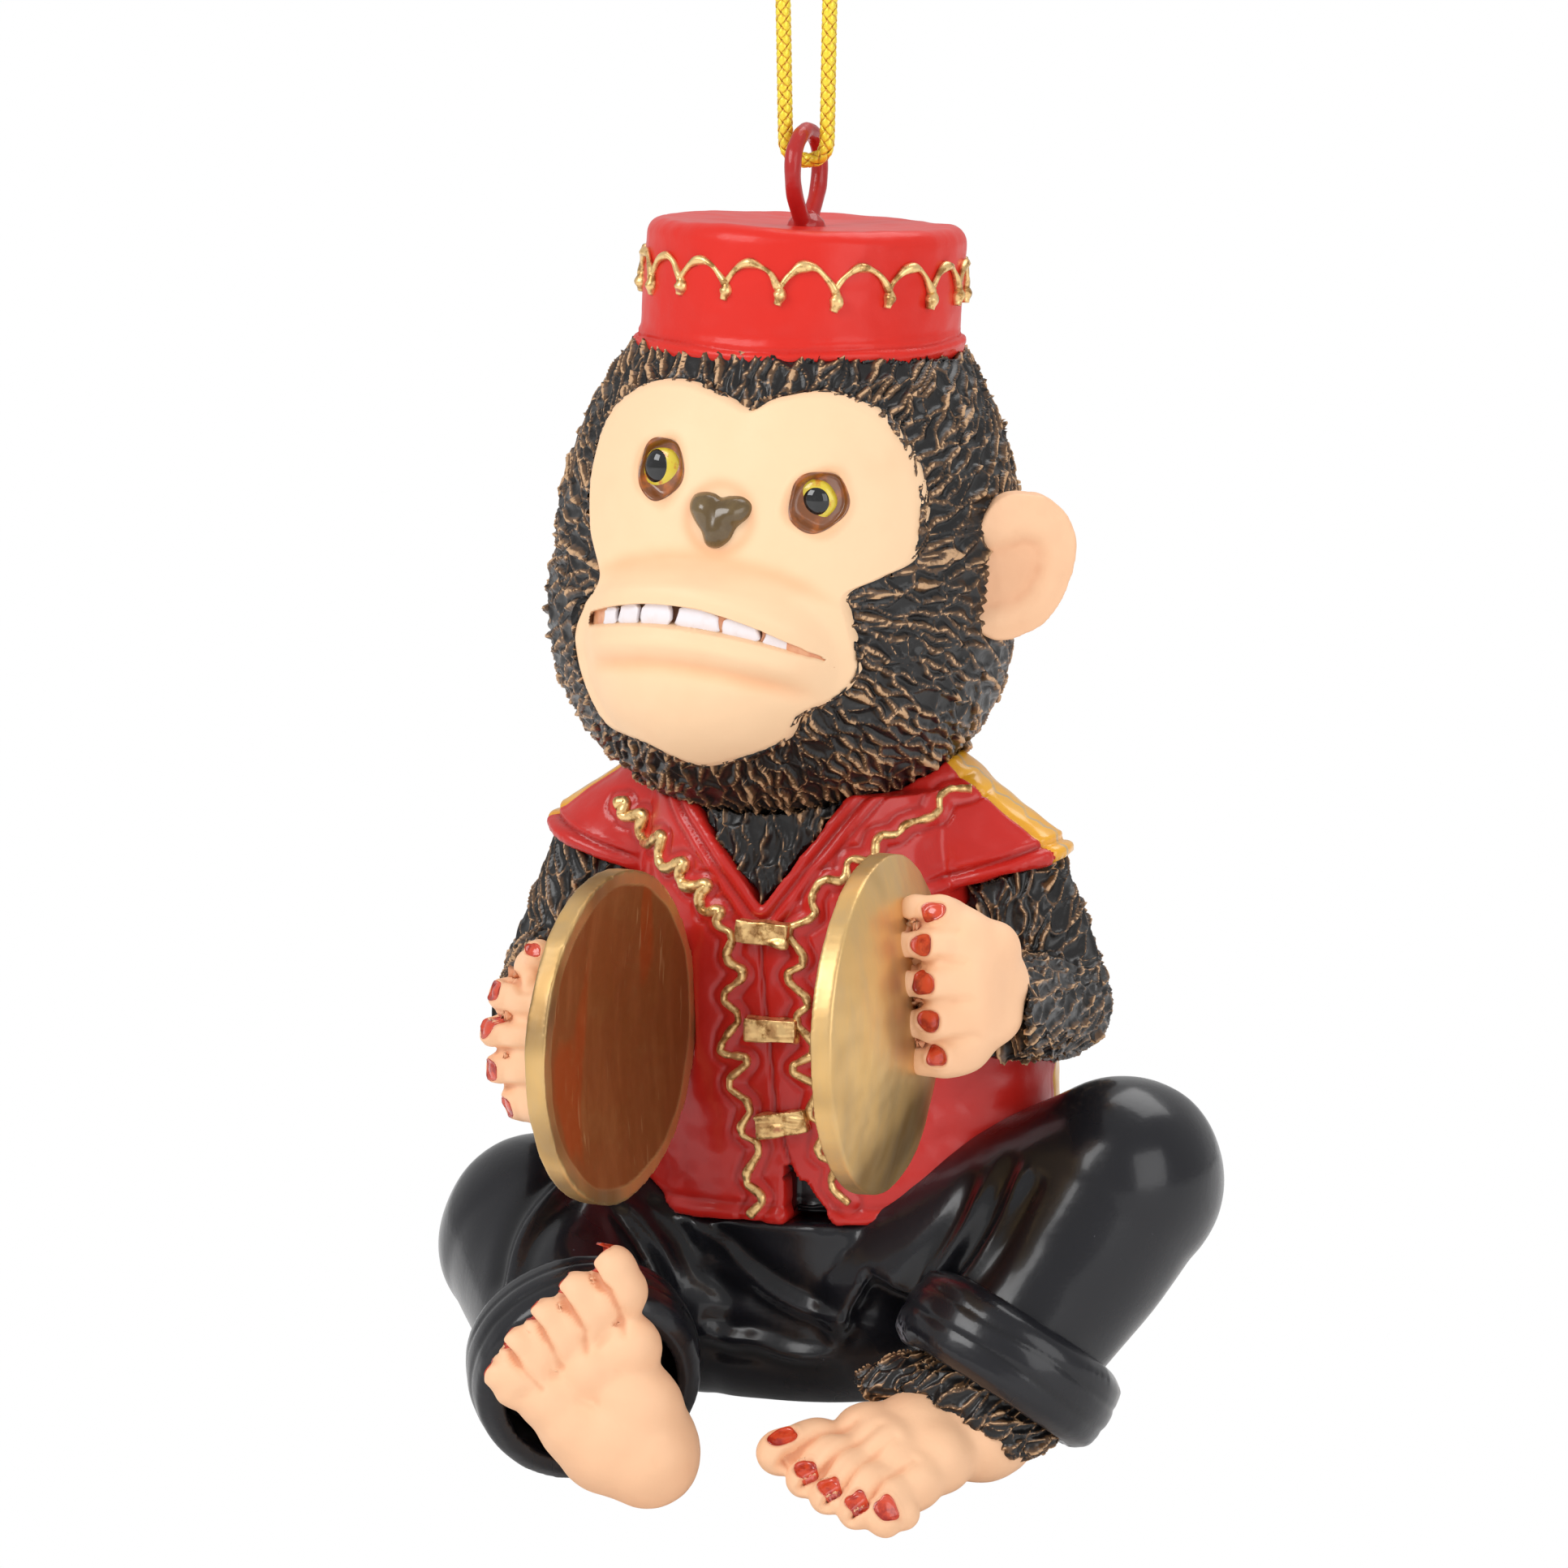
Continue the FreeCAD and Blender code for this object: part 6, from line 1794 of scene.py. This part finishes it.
# %% Feet
FEET = {
    # the direction of the toes, the direction of the big toe's side, and the place of the heel
    "left": ((-0.64, -0.76, -0.03), (-0.70, 0.58, 0.42), (18.2, -15.4, 3.0)),
    "right": ((-0.42, -0.10, 0.90), (0.86, 0.28, 0.43), (-3.6, -29.6, 5.4)),
}
TOES = {
    # how far along the foot the tip is, how far to the big toe's side, radius
    "left": [(16.4, 3.7, 1.9), (15.4, 0.7, 1.4), (14.5, -1.6, 1.35), (13.2, -3.8, 1.3), (11.3, -5.3, 1.25)],
    "right": [(15.4, 5.4, 1.8), (14.8, 2.1, 1.6), (14.0, -0.9, 1.5), (12.9, -3.7, 1.4), (11.3, -6.0, 1.3)],
}
PADS = {
    # along the foot, to the big toe's side, up, radius
    "left": [
        (11.4, 3.4, 2.4, 2.3), (11.0, 1.0, 2.5, 2.3), (10.4, -1.4, 2.4, 2.2), (9.2, -3.4, 2.3, 2.2),
        (7.4, 3.0, 2.9, 2.8), (7.2, 0.4, 3.1, 3.0), (6.4, -2.4, 2.6, 2.6), (4.0, 2.0, 3.4, 3.3),
        (3.6, -1.0, 3.2, 3.1), (0.4, 0.8, 3.4, 3.4), (-0.8, 0.0, 3.3, 3.4), (-2.4, 0.4, 3.2, 3.2),
        (1.8, 2.4, 3.6, 3.1),
    ],
    "right": [
        (11.6, 4.6, 2.4, 2.2), (11.0, 1.8, 2.5, 2.3), (10.4, -1.2, 2.5, 2.3), (9.2, -4.2, 2.5, 2.4),
        (7.6, 3.6, 2.7, 2.7), (7.4, 0.4, 2.8, 2.8), (6.6, -3.4, 2.8, 2.8), (4.4, 2.0, 3.0, 3.0),
        (3.8, -2.6, 3.2, 3.2), (3.0, 2.6, 3.2, 3.2), (1.8, 0.0, 3.1, 3.4), (1.2, -1.4, 3.8, 3.8),
        (-0.9, 1.1, 3.9, 4.05), (0.4, 1.4, 4.2, 3.9), (0.4, 0.4, 6.0, 3.6),
    ],
}
TOE_CREASES = {
    "left": [
        [(17.0, 2.0), (14.2, 2.1), (12.0, 2.7), (9.2, 2.7)],
        [(16.0, -0.5), (13.2, -0.2), (11.4, 0.4), (8.2, 1.0)],
        [(15.0, -2.8), (12.6, -2.4), (10.6, -1.4), (7.6, -0.7)],
        [(13.6, -4.8), (11.4, -4.3), (9.6, -3.3), (7.0, -2.8)],
    ],
    "right": [
        [(15.6, 3.7), (13.1, 3.9), (12.4, 4.3), (10.6, 4.4), (9.1, 4.1)],
        [(15.0, 0.5), (12.7, 0.9), (11.7, 1.2), (10.3, 1.4), (9.0, 0.9)],
        [(14.2, -2.4), (11.8, -1.6), (10.2, -1.4), (8.7, -1.4)],
        [(12.8, -5.1), (10.6, -4.3), (9.5, -4.0), (7.9, -3.4)],
    ],
}
BALL_FOLD = [(7.6, -6.6), (7.9, -4.3), (7.9, -3.4), (8.6, -1.4), (9.0, 1.3), (9.1, 4.1)]
# how far behind the tip, how far aside, how high, and which way a toenail faces
NAIL_SITES = {"left": (0.85, 0, 2.0, (0.5, 0, 0.9)), "right": (0.35, -0.9, 1.15, (0.5, -0.85, 0.2))}
BIG_NAIL = (1.15, 0.88)
SMALL_NAIL = (0.84, 0.78)
print("feet of", {side: len(PADS[side]) + 2 * len(TOES[side]) for side in FEET}, "balls")

# %% [markdown]
# ## Making the feet
#
# A foot's frame is made from the direction of its toes and of its big toe. The balls are turned into
# that frame, and the creases are pressed on the side that shows.

# %% Make the feet
def foot_axes(side):
    """The foot's own three axes, and its heel."""
    forward, inner, heel = FEET[side]
    forward = unit(np.array(forward))
    up = unit(np.cross(forward, inner)) * -SIGNS[side]
    across = np.cross(up, forward)
    inward = across if across @ np.array(inner) > 0 else -across
    return np.stack([forward, inward, up]), np.array(heel)


def in_place(spots, axes, heel):
    """Balls in the foot's frame, moved to the figure's."""
    return [(*(heel + np.array(spot[:3]) @ axes), spot[3]) for spot in spots]


for side in ("left", "right"):
    axes, heel = foot_axes(side)
    spots = list(PADS[side])
    for reach, inward, radius in TOES[side]:
        spots.append((reach - radius, inward, radius + 0.25, radius))
        spots.append((reach - radius - 1.8, inward * 0.97, radius + 0.5, radius * 0.98))
    foot = melted(side + "_foot_skin", in_place(spots, axes, heel), 0.17, 0.38)
    own = (foot.points - heel) @ axes.T
    outer = smooth_step(-0.5, 0.1, (foot.normals @ axes[2]) * SIGNS[side])
    sink = creases(own[:, 0], own[:, 1], TOE_CREASES[side], 0.85, 0.33)
    if side == "right":
        sink = np.maximum(sink, 0.12 * hill(line_distance(own[:, 0], own[:, 1], BALL_FOLD)[0], 0.6))
    foot.push(-sink * outer)
    foot.relax(1)
    foot.push(0.10 * grain(foot.points, 3.5, 90) + 0.02 * grain(foot.points, 1.0, 91))
    nails = []
    back, aside, up, facing = NAIL_SITES[side]
    for reach, inward, radius in TOES[side]:
        spot = heel + np.array((reach - radius * back, inward + aside, up * radius + 0.3)) @ axes
        nails.append((*spot, facing @ axes, SMALL_NAIL if nails else BIG_NAIL))
    name = side + "_foot"
    with_nails(foot, name, name, side + "_toenails", nails, axes[0])
    if side == "left":
        top_of_foot = tree_of(foot.obj)

# %% [markdown]
# ## The left ankle
#
# Here the fur comes out of the cuff and ends in pointed locks on the top of the foot. Each lock is a
# strand of balls from the shank to a tip that is found by casting a ray down at the foot.

# %% The left ankle
LOCK_TIPS = [
    (6.4, 7.6), (6.0, 6.2), (4.6, 5.2), (4.4, 3.6), (3.2, 2.6), (3.0, 1.2), (1.6, 0.2), (1.2, -1.2),
    (-0.2, -2.2), (-1.4, -3.4), (-3.4, -3.4), (-5.2, -2.8),
]
SHANK = [
    (-0.6, 1.8, 4.2, 3.8), (-1.6, 2.4, 5.2, 4.4), (-2.8, 2.8, 6.4, 4.8), (-4.0, 3.3, 7.6, 4.9),
    (1.2, 5.0, 4.6, 2.6), (-3.6, -0.2, 4.6, 3.2),
]
LOCK_ROOT = (-3.2, 3.0, 7.4, 2.4)
axes, heel = foot_axes("left")
spots = list(SHANK)
for number, (reach, inward) in enumerate(LOCK_TIPS):
    above = heel + np.array((reach, inward, 20)) @ axes
    hit = top_of_foot.ray_cast(Vector(above), Vector(-axes[2]))[0]
    level = (np.array(hit) - heel) @ axes[2] if hit else 4.5
    tip = np.array((reach, inward, level, 0.3 + 0.1 * (number % 3)))
    root = 0.4 * tip + 0.6 * np.array(LOCK_ROOT)
    middle = 0.55 * tip + 0.45 * root + (0, 0, 0.3, 0.5)
    spots += list(strand_of([root, middle, tip], 0.3))
ankle = melted("left_ankle_skin", in_place(spots, axes, heel), 0.17, 0.2)
fur(ankle, axes[0] - 0.3 * axes[2], depth=0.65, pitch=1.5, seed=9)
finish_piece(ankle.obj, fur_brown, "left_ankle_fur")

# %% [markdown]
# ## Trousers
#
# The trousers are one glossy black skin with soft ridges that run from the crotch to the knees. The
# cuffs are rolled: thick bands with two creases round them, and one is scraped at its inner corner.

# %% Trousers
SHINS = {
    # the knee, and the middle of the cuff
    "left": ((27.6, -6.0, 24.7), (20.8, -12.4, 11.6)),
    "right": ((-18.6, -8.8, 17.1), (-9.8, -22.4, 10.7)),
}
TROUSERS = ("trousers_seat", "left_trouser_leg", "right_trouser_leg")
SCRAPE = (13.5, 13.6)
TROUSER_RIDGES = [
    [(-11.5, 21.6), (-9.0, 20.2), (-7.4, 18.5), (-6.3, 16.8), (-5.5, 15.0)],
    [(-6.9, 23.7), (-5.8, 21.2), (-4.7, 18.7), (-3.6, 17.0), (-2.0, 16.1), (-0.1, 14.7)],
    [(-9.3, 22.3), (-6.9, 20.6), (-3.6, 18.8), (-0.9, 16.4), (1.5, 14.8), (4.2, 13.7), (9.8, 12.6)],
    [(-4.5, 11.7), (-2.0, 10.9), (0.1, 11.1), (3.0, 10.2), (7.0, 10.4)],
    [(19.2, 25.5), (17.4, 21.0), (15.0, 17.5), (14.5, 16.2), (11.6, 12.8)],
    [(22.4, 27.0), (20.8, 22.5), (19.0, 19.2), (17.2, 17.4)],
    [(-14.0, 24.0), (-16.2, 20.0), (-15.6, 16.0)],
]

# the trousers' black, and a darker black for the painted shade in their dips and creases
black, shade_black = (0.010, 0.010, 0.013), (0.004, 0.004, 0.005)
trouser_black = gloss_coat("trouser_black", black, shade_black, 0.27, 0.3, scuff=0.25, mirror=0.3)
trousers = clay("trousers", TROUSERS, 0.36)
trousers.relax(50)
x, y, z = trousers.points.T
front = smooth_step(-3, -8, y) * smooth_step(0.2, -0.3, trousers.normals[:, 1])
ridge, dip = np.zeros((2, len(x)))
for corners in TROUSER_RIDGES:
    gap, share = line_distance(x, z, rounded(corners, 2))
    fade = smooth_step(0, 0.2, share) * smooth_step(1, 0.75, share)
    ridge = np.maximum(ridge, hill(gap, 0.55) * fade)
    dip = np.maximum(dip, hill(gap - 1.3, 0.9) * fade)
swell = 0.35 * grain(trousers.points, 11.0, 100) + 0.05 * grain(trousers.points, 3.5, 101)
trousers.push(swell + front * (0.4 * ridge - 0.3 * dip))
trousers.relax(3)
# the dips beside the ridges, which the paint darkens as painted shade
trousers.mark("groove", np.clip(dip * front, 0, 1))
finish_piece(trousers.obj, trouser_black, *TROUSERS)

for side, (knee, cuff) in SHINS.items():
    band = clay(side + "_cuff_band", [side + "_cuff"], 0.22)
    band.relax(24)
    shin = unit(np.array(cuff) - knee)
    arm = band.points - cuff
    down = arm @ shin
    outside = smooth_step(6.8, 7.8, np.linalg.norm(arm - down[:, None] * shin, axis=1))
    lines = hill(down - 0.9 + 0.5 * grain(band.points, 9.0, 104), 0.3)
    lines += hill(down + 1.1 + 0.5 * grain(band.points, 9.0, 107), 0.25)
    rough = 0.2 * grain(band.points, 7.0, 105) + 0.03 * grain(band.points, 1.8, 106)
    band.push((0.7 * hill(down, 2.9) - 0.09 * lines) * outside + rough)
    # the two creases, which the paint darkens as painted shade
    band.mark("groove", np.clip(lines * outside * 0.6, 0, 1))
    x, _, z = band.points.T
    band.mark("scrape", hill(np.hypot((x - SCRAPE[0]) * 1.4, z - SCRAPE[1]), 1.1))
    finish_piece(band.obj, trouser_black, side + "_cuff")

# %% [markdown]
# ## Light and floor
#
# Three large soft lights stand round the figure, as in a white tent. The floor and the sky shine only
# for the camera. Near the figure the floor shines less, which leaves a trace of its shadow.

# %% Light and floor
LIGHT_LEVEL = 52
GLOW_NEAR = 0.7


def area_light(name, place, energy, size):
    """A square light in metres and watts that looks at the middle of the figure."""
    data = bpy.data.lights.new(name, "AREA")
    data.energy = energy
    data.size = size
    light = linked(name, data)
    light.location = place
    light.rotation_euler = (Vector(place) - at(0, 0, LIGHT_LEVEL)).to_track_quat("Z", "Y").to_euler()


area_light("key", (-0.35, -0.55, 0.35), 2.9, 0.4)
area_light("fill", (0.6, -0.4, 0.1), 1.5, 0.5)
area_light("top", (0.1, 0.35, 0.55), 2.2, 0.5)

world = bpy.data.worlds.new("studio")
world.use_nodes = True
world.node_tree.nodes.clear()
sky = Tree(world.node_tree)
strength = 0.55 + sky.make("ShaderNodeLightPath", None, None, "Is Camera Ray") * 0.45
background = sky.make("ShaderNodeBackground", None, {"Color": (1, 1, 1, 1), "Strength": strength})
sky.make("ShaderNodeOutputWorld", None, {"Surface": background})
bpy.context.scene.world = world

floor_mesh = bpy.data.meshes.new("floor")
level = cad_box[0][2] - 0.001
floor_mesh.from_pydata([(-4, -4, level), (4, -4, level), (4, 4, level), (-4, 4, level)], [], [(0, 1, 2, 3)])
floor = linked("floor", floor_mesh)
floor_white, tree = material("floor_white")
lit = tree.make("ShaderNodeBsdfPrincipled", None, {"Base Color": (0.92, 0.92, 0.92, 1), "Roughness": 0.9})
glow = tree.make("ShaderNodeEmission", None, {"Color": (1, 1, 1, 1), "Strength": 1.0})
seen = tree.make("ShaderNodeLightPath", None, None, "Is Camera Ray")
away = tree.make("ShaderNodeVectorMath", {"operation": "LENGTH"}, {0: tree.place()}, "Value")
whiter = away.smooth(0.03, 0.13) * (1 - GLOW_NEAR) + GLOW_NEAR
shine = tree.make("ShaderNodeMixShader", None, {0: seen * whiter, 1: lit, 2: glow})
floor_mesh.materials.append(finished(floor_white, tree, shine))
bpy.context.scene.view_settings.view_transform = "Standard"
lights = [obj.name for obj in bpy.data.objects if obj.type == "LIGHT"]
print("lights", lights, "over a floor at", round(level * 1000, 1), "mm")
